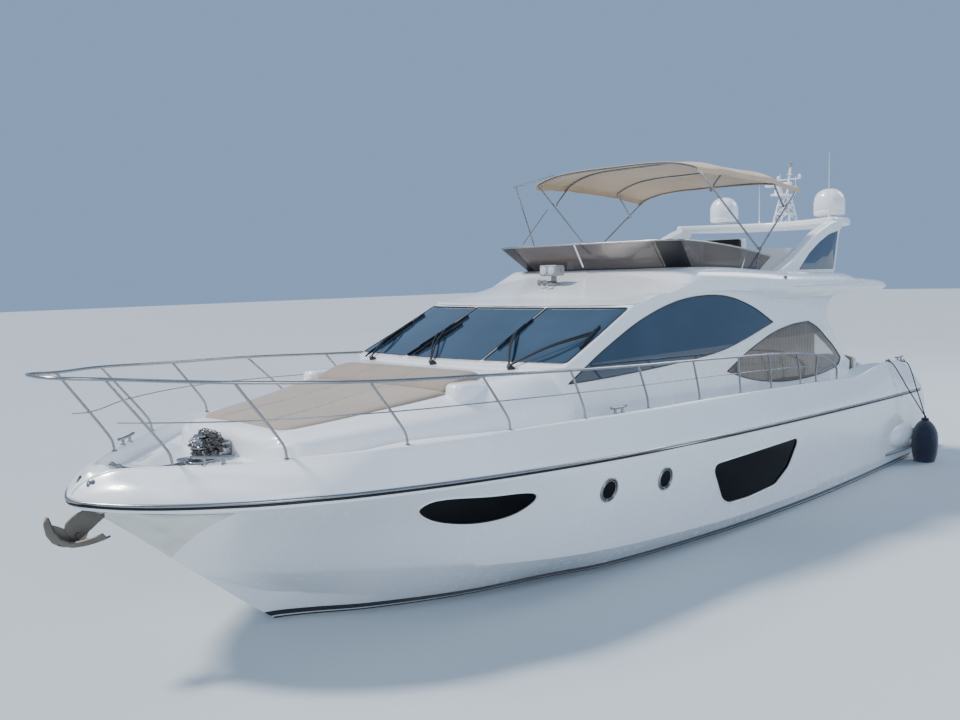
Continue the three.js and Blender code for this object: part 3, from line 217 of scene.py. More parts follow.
class Form:
    """Points, faces and a material number for each face, gathered for one piece."""

    def __init__(self):
        self.points = []
        self.faces = []
        self.marks = []

    def add(self, points, faces):
        start = len(self.points)
        self.points.extend([tuple(map(float, p)) for p in points])
        self.faces.extend([tuple(int(i) + start for i in face) for face in faces])
        self.marks.extend([0] * len(faces))
        return self

    def skin(self, rings, ends=True, loop=False):
        """Rings of points, all of one count, joined by faces, the last to the first in a loop."""
        rings = [list(ring) for ring in rings]
        wide = len(rings[0])
        faces = []
        for r in range(len(rings) - (0 if loop else 1)):
            s = (r + 1) % len(rings)
            for i in range(wide):
                j = (i + 1) % wide
                faces.append((r * wide + i, r * wide + j, s * wide + j, s * wide + i))
        if ends:
            faces.append(tuple(reversed(range(wide))))
            faces.append(tuple(range((len(rings) - 1) * wide, len(rings) * wide)))
        return self.add([p for ring in rings for p in ring], faces)

    def between(self, top, low):
        """A closed body between two sheets of points."""
        return self.skin([[*a, *b[::-1]] for a, b in zip(top, low)])

    def tube(self, line, radius, sides=10, closed=False, upright=False):
        """A round bar along a line, of one radius or of one for each point, its section upright or not."""
        pts = np.array(line, float)
        count = len(pts)
        radii = np.broadcast_to(np.array(radius, float), (count,))
        if closed:
            ahead = np.roll(pts, -1, axis=0) - np.roll(pts, 1, axis=0)
        else:
            ahead = np.gradient(pts, axis=0)
        ahead /= np.maximum(np.linalg.norm(ahead, axis=1), 1e-9)[:, None]
        side = np.array(UP, float)
        if abs(np.dot(side, ahead[0])) > 0.95:
            side = np.array((0, 1, 0), float)
        rings = []
        turn = np.arange(sides) * 2 * np.pi / sides
        for i in range(count):
            base = np.array(UP, float) if upright else side
            side = base - ahead[i] * np.dot(base, ahead[i])
            side /= max(np.linalg.norm(side), 1e-9)
            third = np.cross(ahead[i], side)
            round_it = np.cos(turn)[:, None] * side + np.sin(turn)[:, None] * third
            rings.append(pts[i] + radii[i] * round_it)
        return self.skin(rings, ends=not closed, loop=closed)

    def lathe(self, profile, place=(0, 0, 0), axis=UP, segments=28):
        """A profile of (radius, height) rows turned round an axis through a place."""
        spin = Vector(UP).rotation_difference(Vector(axis)).to_matrix()
        rings = []
        for radius, high in profile:
            circle = round_line(max(radius, 1e-4), segments)
            rings.append([spin @ Vector((x, y, high)) + Vector(place) for x, y in circle])
        return self.skin(rings)

    def slab(self, outline, low, high, edge=0.02, axis=2, steps=3, foot=None):
        """An outline carried along an axis, with its edges rounded."""
        foot = edge if foot is None else foot
        pts = np.array(outline, float)
        turn = np.sum(pts[:, 0] * np.roll(pts[:, 1], -1) - pts[:, 1] * np.roll(pts[:, 0], -1))
        if turn < 0:
            pts = pts[::-1]
        rows = [(foot * (1 - math.sin(a)), low + foot * (1 - math.cos(a))) for a in bends(steps, foot)]
        rows += [(edge * (1 - math.cos(a)), high - edge * (1 - math.sin(a))) for a in bends(steps, edge)]
        rings = [[placed(p, at, axis) for p in grown(pts, -inset)] for inset, at in rows]
        if axis == 1:
            rings = [ring[::-1] for ring in rings]
        return self.skin(rings)

    def block(self, low, high, edge=0.012):
        (x0, y0, z0), (x1, y1, z1) = low, high
        corner = min(edge * 1.6, (x1 - x0) / 3, (y1 - y0) / 3)
        outline = rounded_box(x0, y0, x1, y1, corner)
        return self.slab(outline, z0, z1, min(edge, (z1 - z0) / 3))

    def mirrored(self):
        """The same again on the other side of the centreline."""
        count = len(self.points)
        faces = list(self.faces)
        marks = list(self.marks)
        self.points.extend([(x, -y, z) for x, y, z in self.points])
        self.faces.extend([tuple(i + count for i in reversed(face)) for face in faces])
        self.marks.extend(marks)
        return self

    def mesh(self, name):
        mesh = bpy.data.meshes.new(name)
        mesh.from_pydata(self.points, [], self.faces)
        mesh.polygons.foreach_set("material_index", self.marks)
        face_outward(mesh)
        return mesh

    def make(self, name, finish, body="boat", angle=35, replaces=(), slot=None):
        return dress(linked(name, self.mesh(name)), name, finish, body, angle, replaces, slot)


def bends(steps, size):
    """The angles of a rounded edge, or only its last one where the edge is sharp."""
    if size <= 0:
        return [math.pi / 2]
    return [math.pi / 2 * k / steps for k in range(steps + 1)]


def placed(p, at, axis):
    if axis == 0:
        return (at, p[0], p[1])
    if axis == 1:
        return (p[0], at, p[1])
    return (p[0], p[1], at)


def rounded_box(x0, y0, x1, y1, corner, steps=4):
    line = []
    for cx, cy, start in (
        (x1 - corner, y1 - corner, 0),
        (x0 + corner, y1 - corner, 90),
        (x0 + corner, y0 + corner, 180),
        (x1 - corner, y0 + corner, 270),
    ):
        for k in range(steps + 1):
            angle = math.radians(start + 90 * k / steps)
            line.append((cx + corner * math.cos(angle), cy + corner * math.sin(angle)))
    return np.array(line)


def face_outward(mesh):
    cage = bmesh.new()
    cage.from_mesh(mesh)
    bmesh.ops.remove_doubles(cage, verts=cage.verts, dist=1e-5)
    bmesh.ops.recalc_face_normals(cage, faces=cage.faces)
    cage.to_mesh(mesh)
    cage.free()


def dress(obj, name, finish, body="boat", angle=35, replaces=(), slot=None):
    """Gives a piece its name, its materials and smooth shading, and lets it ride on a body."""
    finishes = [finish] if isinstance(finish, str) else finish
    obj.name = name
    mesh = obj.data
    if len(mesh.materials):
        mesh.materials.clear()
    for each in finishes:
        mesh.materials.append(material(each))
    mesh.polygons.foreach_set("use_smooth", [True] * len(mesh.polygons))
    mesh.set_sharp_from_angle(angle=math.radians(angle))
    mesh.update()
    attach(obj, body)
    slot or SLOTS.get(finishes[0], finishes[0])
    if replaces:
        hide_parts(*replaces)
    return obj


def linked(name, data):
    """A new object in the scene."""
    obj = bpy.data.objects.new(name, data)
    bpy.context.scene.collection.objects.link(obj)
    return obj


def solid(rings_or_form):
    """A closed mesh that is only used to join or cut others."""
    form = rings_or_form if isinstance(rings_or_form, Form) else Form().skin(rings_or_form)
    return linked("tool", form.mesh("tool"))


def copied(obj):
    return linked(obj.name, obj.data.copy())


def dropped(*objs):
    for obj in objs:
        mesh = obj.data
        bpy.data.objects.remove(obj)
        bpy.data.meshes.remove(mesh)


def settled(obj):
    """The mesh with its modifiers made real."""
    graph = bpy.context.evaluated_depsgraph_get()
    mesh = bpy.data.meshes.new_from_object(obj.evaluated_get(graph))
    old = obj.data
    obj.modifiers.clear()
    obj.data = mesh
    bpy.data.meshes.remove(old)
    return obj


def carved(obj, tool, operation="DIFFERENCE", keep=False):
    """Cuts, joins or trims a solid with a tool, which is used up unless it is kept."""
    step = obj.modifiers.new("carve", "BOOLEAN")
    step.operation = operation
    step.solver = "MANIFOLD"
    step.object = tool
    settled(obj)
    if not keep:
        dropped(tool)
    return obj


def weighted(obj):
    """Shading that keeps broad faces flat beside their cut edges."""
    step = obj.modifiers.new("weigh", "WEIGHTED_NORMAL")
    step.keep_sharp = True
    step.weight = 100
    return settled(obj)


def marked(obj, rule):
    """Gives each face the material number that the rule names from its centre and its normal."""
    mesh = obj.data
    marks = [rule(face.center, face.normal) for face in mesh.polygons]
    mesh.polygons.foreach_set("material_index", marks)
    return obj


def prism(outline, low, high, axis=1):
    rings = [[placed(p, at, axis) for p in outline] for at in (low, high)]
    return solid(rings)


def tree_of(obj):
    mesh = obj.data
    return BVHTree.FromPolygons(
        [v.co.copy() for v in mesh.vertices], [tuple(face.vertices) for face in mesh.polygons]
    )


def cast(tree, start, ahead, lift=0.0):
    """Where a ray from start meets the surface, lifted off it."""
    ahead = Vector(ahead).normalized()
    hit, normal, _, _ = tree.ray_cast(Vector(start), ahead)
    if hit is None:
        hit, normal, _, _ = tree.find_nearest(Vector(start) + ahead)
    if normal.dot(ahead) > 0:
        normal = -normal
    return np.array(hit + normal * lift)


def on_side(tree, outline, lift=0.0, far=4.0):
    """A side view outline of (x, z) points laid on the port side."""
    return np.array([cast(tree, (x, far, z), (0, -1, 0), lift) for x, z in outline])


def above(name, x, y, lift=0.0):
    """The point of a skin's upper side at a place in plan."""
    return cast(SKINS[name], (x, y, 6), (0, 0, -1), lift)


# Shaders


def sums(operation):
    """A method that joins a value with another by a sum, and the same with the two swapped."""
    return (
        lambda self, other: self.sum(operation, self, other),
        lambda self, other: self.sum(operation, other, self),
    )


class Value:
    """A number inside a shader, which takes part in sums like an ordinary one."""

    def __init__(self, graph, socket):
        self.graph = graph
        self.socket = socket

    def sum(self, operation, a, b=None, clamp=False):
        node = self.graph.tree.nodes.new("ShaderNodeMath")
        node.operation = operation
        node.use_clamp = clamp
        self.graph.feed(node.inputs[0], a)
        if b is not None:
            self.graph.feed(node.inputs[1], b)
        return Value(self.graph, node.outputs[0])

    __add__, __radd__ = sums("ADD")
    __sub__, __rsub__ = sums("SUBTRACT")
    __mul__, __rmul__ = sums("MULTIPLY")
    __truediv__, _ = sums("DIVIDE")
    over, _ = sums("GREATER_THAN")
    under, _ = sums("LESS_THAN")

    def sine(self):
        return self.sum("SINE", self)

    def size(self):
        return self.sum("ABSOLUTE", self)

    def part(self):
        return self.sum("FRACT", self)

    def whole(self):
        return self.sum("FLOOR", self)

    def smooth(self, low, high):
        node = self.graph.node("ShaderNodeMapRange", {"interpolation_type": "SMOOTHSTEP"})
        self.graph.feed(node.inputs["Value"], self)
        node.inputs["From Min"].default_value = low
        node.inputs["From Max"].default_value = high
        return Value(self.graph, node.outputs["Result"])


class Graph:
    """A material's nodes, built line by line."""

    def __init__(self, name):
        self.material = bpy.data.materials.new(name)
        self.material.use_nodes = True
        self.tree = self.material.node_tree
        self.shader = self.tree.nodes["Principled BSDF"]
        self.output = self.tree.nodes["Material Output"]

    def node(self, kind, settings=None, **values):
        node = self.tree.nodes.new(kind)
        for key, value in (settings or {}).items():
            setattr(node, key, value)
        for key, value in values.items():
            self.feed(node.inputs[key.replace("_", " ")], value)
        return node

    def feed(self, socket, value):
        if isinstance(value, Value):
            self.tree.links.new(value.socket, socket)
        elif isinstance(value, bpy.types.NodeSocket):
            self.tree.links.new(value, socket)
        else:
            socket.default_value = value

    def place(self):
        """Position on the piece, as three values."""
        spot = self.node("ShaderNodeTexCoord").outputs["Object"]
        parts = self.node("ShaderNodeSeparateXYZ", Vector=spot)
        return spot, [Value(self, parts.outputs[k]) for k in range(3)]

    def vector(self, x, y, z):
        return self.node("ShaderNodeCombineXYZ", X=x, Y=y, Z=z).outputs["Vector"]

    def noise(self, spot, scale, detail=3.0, rough=0.5):
        node = self.node("ShaderNodeTexNoise", Vector=spot, Scale=scale, Detail=detail, Roughness=rough)
        return Value(self, node.outputs["Fac"])

    def mix(self, share, a, b):
        node = self.tree.nodes.new("ShaderNodeMix")
        node.data_type = "RGBA"
        self.feed(node.inputs["Factor"], share)
        self.feed(node.inputs[6], shade(a))
        self.feed(node.inputs[7], shade(b))
        return node.outputs[2]

    def bump(self, height, strength=0.3, distance=0.002, under=None):
        node = self.node("ShaderNodeBump", Height=height, Strength=strength, Distance=distance)
        if under is not None:
            self.feed(node.inputs["Normal"], under)
        return node.outputs["Normal"]

    def set(self, **values):
        for key, value in values.items():
            self.feed(self.shader.inputs[key.replace("_", " ")], value)
        return self


def shade(value):
    """A colour as a socket takes it."""
    if isinstance(value, (Value, bpy.types.NodeSocket)):
        return value
    return (*tuple(value)[:3], 1.0)


def tinted(value, by):
    return tuple(min(max(c * by, 0.0), 1.0) for c in value)


MATERIALS = {}
SLOTS = {
    "hull_paint": "gelcoat", "rubber": "black_glass", "trim_grey": "black_glass",
    "arch_glass": "smoke_glass", "aft_cabin_glass": "cabin_glass", "curtain": "cushion_beige",
    "mirror_steel": "stainless", "anchor_steel": "stainless", "chain_steel": "stainless",
    "lamp_grey": "stainless", "lens": "stainless",
}  # the slot of each finish that isn't a slot's own


def material(name):
    """A material by name, built the first time it is asked for."""
    if name in MAKERS and name not in MATERIALS:
        MATERIALS[name] = MAKERS[name]()
    if name not in MATERIALS:
        tables = ((GLASSES, make_glass), (METALS, make_metal), (CLOTHS, make_cloth), (PLAIN, make_plain))
        make, (tint, *rest) = next((make, table[name]) for table, make in tables if name in table)
        tint = tuple(getattr(colours(), tint)) if isinstance(tint, str) else tint
        MATERIALS[name] = make(name, tint, *rest)
    return MATERIALS[name]


def gelcoat_on(graph, spot, base):
    """White gelcoat: a faint mottle, a little salt, and gloss that varies."""
    broad = graph.noise(spot, 0.7, 4.0)
    fine = graph.noise(spot, 9.0, 5.0, 0.6)
    warm = graph.mix(broad.smooth(0.3, 0.75), tinted(base, 0.965), base)
    body = graph.mix((fine.smooth(0.55, 0.9)) * 0.35, warm, tinted(base, 0.93))
    gloss = 0.16 + 0.14 * fine + 0.06 * broad
    return body, gloss


def make_gelcoat():
    graph = Graph("gelcoat")
    spot, _ = graph.place()
    body, gloss = gelcoat_on(graph, spot, colours().gelcoat)
    wave = graph.bump(graph.noise(spot, 1.6, 2.0), 0.06, 0.01)
    graph.set(Base_Color=body, Roughness=gloss, Coat_Weight=0.6, Coat_Roughness=0.08, Normal=wave)
    return graph.material


def make_hull_paint():
    """Topsides over a black boot stripe with a fine white line, and dark antifouling below."""
    graph = Graph("hull_paint")
    spot, (x, _, z) = graph.place()
    body, gloss = gelcoat_on(graph, spot, colours().gelcoat)
    top = sizes().boot_top
    # Painted reflection of the water: a faint olive darkening in vertical streaks that grows towards the
    # boot stripe.
    reflection_streaks = graph.noise(graph.vector(x * 5.0, 0.0, z * 0.6), 2.0, 5.0, 0.65)
    low = z.smooth(1.2, top) * reflection_streaks.smooth(0.5, 0.85) * 0.16
    body = graph.mix(low, body, (0.48, 0.47, 0.4))
    boot = graph.mix(graph.noise(spot, 14.0, 3.0) * 0.5, colours().boot, tinted(colours().boot, 2.4))
    slime = graph.noise(spot, 3.0, 6.0, 0.7)
    bottom = graph.mix(slime.smooth(0.4, 0.8), colours().antifouling, (0.03, 0.036, 0.03))
    body = graph.mix(z.under(top), body, boot)
    line = z.under(0.04) * z.over(0.024)
    body = graph.mix(line, body, (0.75, 0.77, 0.78))
    body = graph.mix(z.under(0.024), body, bottom)
    rough = gloss + z.under(0.024) * 0.45
    wave = graph.bump(graph.noise(spot, 1.1, 2.0), 0.08, 0.012)
    graph.set(Base_Color=body, Roughness=rough, Coat_Weight=0.5, Coat_Roughness=0.1, Normal=wave)
    return graph.material


def make_glass(name, tint, clear, pale=None, shine=0.7):
    """Tinted glass, with a faint haze of salt."""
    graph = Graph(name)
    spot, _ = graph.place()
    haze = graph.noise(spot, 1.3, 5.0, 0.6)
    body = graph.mix(haze.smooth(0.35, 0.8) * 0.5, tint, pale or tinted(tint, 1.8))
    rough = 0.03 + 0.07 * haze
    graph.set(Base_Color=body, Roughness=rough, Coat_Weight=shine, Coat_Roughness=0.02, Alpha=clear)
    graph.set(Specular_IOR_Level=shine * 0.7)
    graph.material.surface_render_method = "DITHERED"
    return graph.material


def make_metal(name, tint, rough, grain=0.12):
    graph = Graph(name)
    spot, _ = graph.place()
    marks = graph.noise(spot, 60.0, 4.0, 0.6)
    broad = graph.noise(spot, 4.0, 3.0)
    body = graph.mix(broad.smooth(0.35, 0.8), tint, tinted(tint, 0.82))
    normal = graph.bump(marks, 0.05, 0.0004)
    graph.set(Base_Color=body, Roughness=rough + grain * marks, Metallic=1.0, Normal=normal)
    return graph.material


def make_cloth(name, tint, pitch, dark=0.86, stitch_depth=0.0006):
    """A plain weave, with broad fading and a few worn threads."""
    graph = Graph(name)
    spot, (x, y, z) = graph.place()
    turn = 2 * math.pi / pitch
    warp = (x * turn + z * turn * 0.35).sine()
    weft = (y * turn + z * turn * 0.7).sine()
    weave = (warp * weft).smooth(-1.0, 1.0)
    fade = graph.noise(spot, 1.8, 4.0)
    slub = graph.noise(graph.vector(x * 3.0, y * 60.0, z * 20.0), 4.0, 3.0)
    body = graph.mix(fade.smooth(0.3, 0.75), tinted(tint, dark), tint)
    body = graph.mix(weave * 0.35, body, tinted(tint, 0.7))
    body = graph.mix(slub.smooth(0.6, 0.85) * 0.25, body, tinted(tint, 1.25))
    crease = graph.bump(graph.noise(spot, 5.0, 3.0), 0.25, 0.006)
    normal = graph.bump(weave, 0.5, stitch_depth, crease)
    graph.set(Base_Color=body, Roughness=0.82 + 0.12 * fade, Normal=normal, Sheen_Weight=0.25)
    return graph.material


def make_teak():
    """Planks along the boat with black caulking, weathered unevenly."""
    graph = Graph("teak")
    _, (x, y, z) = graph.place()
    plank = y / 0.058
    seam = (plank.part() - 0.5).size().over(0.455)
    number = plank.whole()
    grain = graph.noise(graph.vector(x * 1.6 + number * 7.3, y * 30.0, z * 20.0), 5.0, 6.0, 0.65)
    tone = graph.noise(graph.vector(number * 3.7, number, 0.0), 1.0, 0.0)
    wood = graph.mix(grain.smooth(0.3, 0.75), tinted(colours().teak, 0.72), tinted(colours().teak, 1.3))
    wood = graph.mix(tone.smooth(0.3, 0.7) * 0.45, wood, (0.42, 0.33, 0.24))
    body = graph.mix(seam, wood, (0.012, 0.012, 0.013))
    height = grain * 0.25 + (1.0 - seam)
    graph.set(Base_Color=body, Roughness=0.62 + 0.2 * grain, Normal=graph.bump(height, 0.5, 0.0015))
    return graph.material


def make_rope():
    graph = Graph("rope")
    _, (x, y, z) = graph.place()
    lay = ((x * 0.6 + y + z * 1.4) * 420.0).sine()
    cross = ((z * 1.4 - x * 0.6 - y) * 420.0).sine()
    braid = (lay * cross).smooth(-0.8, 0.8)
    body = graph.mix(braid, (0.004, 0.004, 0.006), (0.03, 0.032, 0.045))
    graph.set(Base_Color=body, Roughness=0.75 + 0.15 * braid, Normal=graph.bump(braid, 0.8, 0.0015))
    return graph.material


def make_knit():
    graph = Graph("fender_cloth")
    spot, (x, y, z) = graph.place()
    rib = ((x + y) * 330.0).sine()
    loop = (z * 420.0 + rib * 1.2).sine()
    knit = (rib * 0.5 + loop * 0.5).smooth(-1.0, 1.0)
    wear = graph.noise(spot, 6.0, 5.0, 0.65)
    body = graph.mix(wear.smooth(0.5, 0.85), colours().fender, tinted(colours().fender, 4.5))
    graph.set(Base_Color=body, Roughness=0.9, Normal=graph.bump(knit, 0.7, 0.002), Sheen_Weight=0.5)
    return graph.material


def make_plain(name, tint, rough, scale=20.0, metal=0.0, depth=0.001):
    graph = Graph(name)
    spot, _ = graph.place()
    grain = graph.noise(spot, scale, 4.0, 0.6)
    body = graph.mix(grain.smooth(0.35, 0.8), tint, tinted(tint, 0.78))
    graph.set(Base_Color=body, Roughness=rough + 0.15 * grain, Metallic=metal)
    graph.set(Normal=graph.bump(grain, 0.2, depth))
    return graph.material


def make_wood():
    graph = Graph("joinery")
    _, (x, y, z) = graph.place()
    ring = graph.noise(graph.vector(x * 1.5, y * 14.0, z * 14.0), 3.0, 6.0, 0.6)
    body = graph.mix(ring.smooth(0.3, 0.7), (0.3, 0.2, 0.13), (0.46, 0.36, 0.27))
    graph.set(Base_Color=body, Roughness=0.3 + 0.2 * ring, Coat_Weight=0.3)
    graph.set(Normal=graph.bump(ring, 0.1, 0.001))
    return graph.material


def make_curtain():
    graph = Graph("curtain")
    spot, (x, _, z) = graph.place()
    thread = ((z * 900.0).sine() * (x * 900.0).sine()).smooth(-1.0, 1.0)
    shadow = graph.noise(spot, 3.0, 3.0)
    body = graph.mix(shadow.smooth(0.3, 0.8), (0.5, 0.42, 0.33), (0.62, 0.54, 0.44))
    graph.set(Base_Color=body, Roughness=0.88, Normal=graph.bump(thread, 0.3, 0.0006))
    return graph.material


MAKERS = {
    "gelcoat": make_gelcoat, "hull_paint": make_hull_paint, "fender_cloth": make_knit, "rope": make_rope,
    "teak": make_teak, "joinery": make_wood, "curtain": make_curtain,
}
# Columns: tint or the name of a colour that can be changed, and what else its maker takes
GLASSES = {
    "cabin_glass": ("glass", 0.9),
    "aft_cabin_glass": ((0.12, 0.105, 0.09), 0.35),
    "black_glass": ((0.003, 0.0032, 0.0035), 1.0, (0.005, 0.0055, 0.006), 0.06),
    "smoke_glass": ("smoke", 0.76, None, 0.3),
    # The arch panels are smoked glass tinted blue, with paler blue patches: painted reflection of the sky.
    "arch_glass": ((0.035, 0.06, 0.1), 1.0, (0.07, 0.11, 0.16)),
}
METALS = {
    "stainless": ((0.34, 0.34, 0.345), 0.2),
    "mirror_steel": ((0.62, 0.64, 0.63), 0.1, 0.2),
    "chain_steel": ((0.16, 0.155, 0.15), 0.34, 0.2),
    "anchor_steel": ((0.2, 0.18, 0.155), 0.46, 0.2),
    "bronze": ((0.5, 0.33, 0.16), 0.3),
}
CLOTHS = {
    "canopy_cloth": ("canopy", 0.0035),
    "cushion_beige": ("cushion", 0.004),
    "cushion_taupe": ("backrest", 0.004),
}
PLAIN = {
    "machinery": ((0.16, 0.17, 0.18), 0.4, 12.0),
    "rubber": ((0.007, 0.007, 0.008), 0.42, 40.0),
    "lamp_grey": ((0.3, 0.31, 0.32), 0.3, 40.0),
    "trim_grey": ((0.2, 0.21, 0.22), 0.4, 40.0),
    "lens": ((0.55, 0.56, 0.58), 0.08, 60.0),
}


# Camera, light and floor

FOCAL_PX = 930.0
VIEW_YAW = math.radians(44.729)
VIEW_PITCH = math.radians(5.101)
VIEW_ROLL = math.radians(-1.413)
VIEW_FROM = Vector((12.401, 9.427, 4.012))
SENSOR = 36.0
PHOTO_WIDE = 960


def make_camera():
    level = math.cos(VIEW_PITCH)
    ahead = Vector((-math.cos(VIEW_YAW) * level, -math.sin(VIEW_YAW) * level, -math.sin(VIEW_PITCH)))
    side = ahead.cross(Vector(UP)).normalized()
    over = side.cross(ahead)
    right = math.cos(VIEW_ROLL) * side + math.sin(VIEW_ROLL) * over
    up = -math.sin(VIEW_ROLL) * side + math.cos(VIEW_ROLL) * over
    data = bpy.data.cameras.new("camera")
    data.sensor_width = SENSOR
    data.lens = FOCAL_PX * SENSOR / PHOTO_WIDE
    data.clip_end = 400
    camera = linked("camera", data)
    camera.matrix_world = Matrix.Translation(VIEW_FROM) @ Matrix((right, up, -ahead)).transposed().to_4x4()
    bpy.context.scene.camera = camera


def lamp(name, spot, aim, wide, power, tint=(1, 1, 1)):
    data = bpy.data.lights.new(name, "AREA")
    data.shape = "DISK"
    data.size = wide
    data.energy = power
    data.color = tint
    light = linked(name, data)
    light.location = spot
    light.rotation_euler = (Vector(aim) - Vector(spot)).to_track_quat("-Z", "Y").to_euler()


def make_stage():
    graph = Graph("stage_floor")
    spot, _ = graph.place()
    cloud = graph.noise(spot, 0.15, 2.0)
    graph.set(Base_Color=graph.mix(cloud, (0.47, 0.52, 0.55), (0.51, 0.56, 0.59)), Roughness=0.7)
    mesh = bpy.data.meshes.new("floor")
    mesh.from_pydata([(-160, -160, 0), (160, -160, 0), (160, 160, 0), (-160, 160, 0)], [], [(0, 1, 2, 3)])
    mesh.materials.append(graph.material)
    linked("floor", mesh)
    world = bpy.data.worlds.new("sky")
    world.use_nodes = True
    back = world.node_tree.nodes["Background"]
    back.inputs["Color"].default_value = (0.36, 0.54, 0.85, 1)
    back.inputs["Strength"].default_value = 0.72
    bpy.context.scene.world = world
    sun = bpy.data.lights.new("key", "SUN")
    sun.energy = 4.6
    sun.angle = math.radians(9)
    sun.color = (1.0, 0.96, 0.9)
    high = linked("key", sun)
    high.rotation_euler = Vector((-13, 15, -24)).to_track_quat("-Z", "Y").to_euler()
    lamp("fill", (17, 20, 12), (0, 0, 1), 16, 2600, (0.9, 0.94, 1.0))
    lamp("rim", (-24, 10, 18), (0, 0, 2), 12, 2600, (0.95, 0.97, 1.0))


# Hull lines: half breadths and heights along the length

BOW_X = 8.79
STERN_X = -8.4
FULL_X = 1.5
NOSE_X = 6.2  # from here the rub rail follows the bow's own curve
STEM_X = 7.42  # from here there is no chine
BOW_SPAN = 7.38
BOW_FULLNESS = 2.85
HALF_BEAM = 2.56
STERN_HALF = 2.29


rub_nose = curve(
    (5.8, 2.214), (6.2, 2.133), (6.6, 2.038), (6.9, 1.95), (7.2, 1.83), (7.58, 1.6), (7.8, 1.43),
    (8.02, 1.245), (8.22, 1.05), (8.4, 0.84), (8.55, 0.62), (8.67, 0.39), (8.74, 0.22), (8.775, 0.11),
    (8.79, 0.0),
)


def rub_y(x):
    if x > NOSE_X:
        return rub_nose(x)
    if x > FULL_X:
        t = (x - FULL_X) / BOW_SPAN
        return HALF_BEAM * (1 - t * t) ** (1 / BOW_FULLNESS)
    t = (FULL_X - x) / (FULL_X - STERN_X)
    return HALF_BEAM - (HALF_BEAM - STERN_HALF) * t**1.3


def rub_z(x):
    return 1.43 + 0.49 * (max(min(x, 7.15) + 8.0, 0) / 16.8) ** 1.3


keel_z = curve(
    (-8.4, -0.74), (-4, -0.88), (1, -0.92), (3.5, -0.85), (4.9, -0.66), (5.8, -0.37), (6.48, 0),
    (7.42, 0.76), (8.45, 1.62), (8.9, 1.88),
)
low_y = curve(
    (-8.4, 2.14), (-3.95, 2.29), (-1.3, 2.22), (0.62, 2.05), (2.47, 1.79), (3.34, 1.5),
    (4.56, 1.23), (5.61, 0.83), (6.15, 0.42), (6.65, 0.06), (7.42, 0.02),
)
low_z = curve(
    (-8.4, 0), (0.62, 0), (3.34, 0.04), (4.56, 0.11), (5.61, 0.26), (6.15, 0.33), (6.65, 0.4),
    (7.42, 0.78),
)
chine_y = curve(
    (-8.4, 2.23), (-4, 2.39), (-0.47, 2.45), (1.17, 2.4), (2.79, 2.27), (3.73, 2.11), (4.62, 1.8),
    (5.46, 1.36), (6.02, 1.01), (6.9, 0.4), (7.42, 0.06),
)
chine_z = curve(
    (-8.4, 0.2), (-4, 0.24), (-0.47, 0.31), (1.17, 0.37), (2.79, 0.45), (4.62, 0.57), (6.02, 0.66),
    (6.9, 0.71), (7.42, 0.82),
)
crest_inset = curve((-8.4, 0.06), (-4.7, 0.1), (0.4, 0.16), (3, 0.13), (5, 0.07))
crest_nose = curve(
    (4.4, 2.37), (5, 2.31), (5.8, 2.19), (6.2, 2.09), (6.7, 1.87), (7.1, 1.58), (7.5, 1.25), (7.9, 0.87),
    (8.25, 0.5), (8.5, 0.22), (8.64, 0.07), (8.72, 0.03), (8.79, 0.0),
)
crest_z = curve(
    (-8.4, 1.3), (-8.15, 1.5), (-7.7, 1.86), (-7.35, 2.03), (-6.8, 2.13), (-5.8, 2.13),
    (-4.7, 2.01), (-3, 2.07), (0.4, 2.18), (3, 2.235), (5, 2.27), (6.1, 2.28), (6.7, 2.26), (7.1, 2.235),
    (7.5, 2.21), (7.9, 2.195), (8.25, 2.185), (8.45, 2.165), (8.6, 2.1), (8.7, 2.03), (8.76, 1.965),
    (8.79, 1.91),
)
bulge = curve((3, 0.6), (4.7, 0.46))
well_depth = curve(
    (4.5, 0.075), (5.6, 0.085), (6.3, 0.14), (6.9, 0.185), (7.7, 0.19), (8.1, 0.15), (8.32, 0.07),
    (8.42, 0.012),
)


def crest_y(x):
    return max(crest_nose(x) if x > 5 else rub_y(x) - crest_inset(x), 0.0)


def hull_stations():
    aft = np.linspace(-8.4, 5.0, 92)
    fore = np.linspace(5.0, 8.2, 42)[1:]
    tip = [8.26, 8.32, 8.38, 8.44, 8.5, 8.55, 8.6, 8.64, 8.68, 8.71, 8.74, 8.76, 8.775]
    return [float(x) for x in [*aft, *fore, *tip]]


def mirrored_ring(half):
    half = np.array(half, float)
    return np.vstack([half, mirror(half[1:-1])[::-1]])


def hull_ring(x, inset=0.0):
    keel = min(keel_z(x), rub_z(x) - 0.04)
    rub = max(rub_y(x) - inset, 0.03)
    above_stem = x > STEM_X
    chine = (0.02, keel + 0.024) if above_stem else (chine_y(x) - inset, max(chine_z(x), keel + 0.04))
    low = (0.01, keel + 0.012) if above_stem else (low_y(x) - inset, max(low_z(x), keel + 0.02))
    chine = (max(chine[0], 0.016), chine[1])
    low = (max(low[0], 0.008), low[1])
    top = rub_z(x)
    half = [
        (x, 0, keel),
        (x, low[0] * 0.5, keel + (low[1] - keel) * 0.44),
        (x, low[0], low[1]),
        (x, chine[0], chine[1]),
        (x, chine[0] + (rub - chine[0]) * bulge(x), chine[1] + (top - chine[1]) * 0.5),
        (x, rub, top - 0.06),
        (x, rub, top),
        (x, 0, top),
    ]
    return mirrored_ring(bent(half, [2, 3, 5, 6], 7))


def hull_solid(inset=0.0):
    return solid([hull_ring(x, inset) for x in hull_stations()])


# Where the stern ends, and half the breadth of the quarters, at a height
stern_x = curve(
    (-1.6, -7.78), (0, -7.83), (0.45, -8.2), (0.8, -8.34), (1.13, -8.35), (1.47, -8.18), (1.86, -7.7),
    (2.04, -7.35), (2.15, -6.9), (3.2, -6.8),
)
stern_breadth = curve((-1.6, 1.2), (0, 2.16), (0.2, 2.24), (1.4, 2.3), (1.9, 2.24), (2.2, 2.24), (3.2, 2.24))
QUARTER_R = 0.16


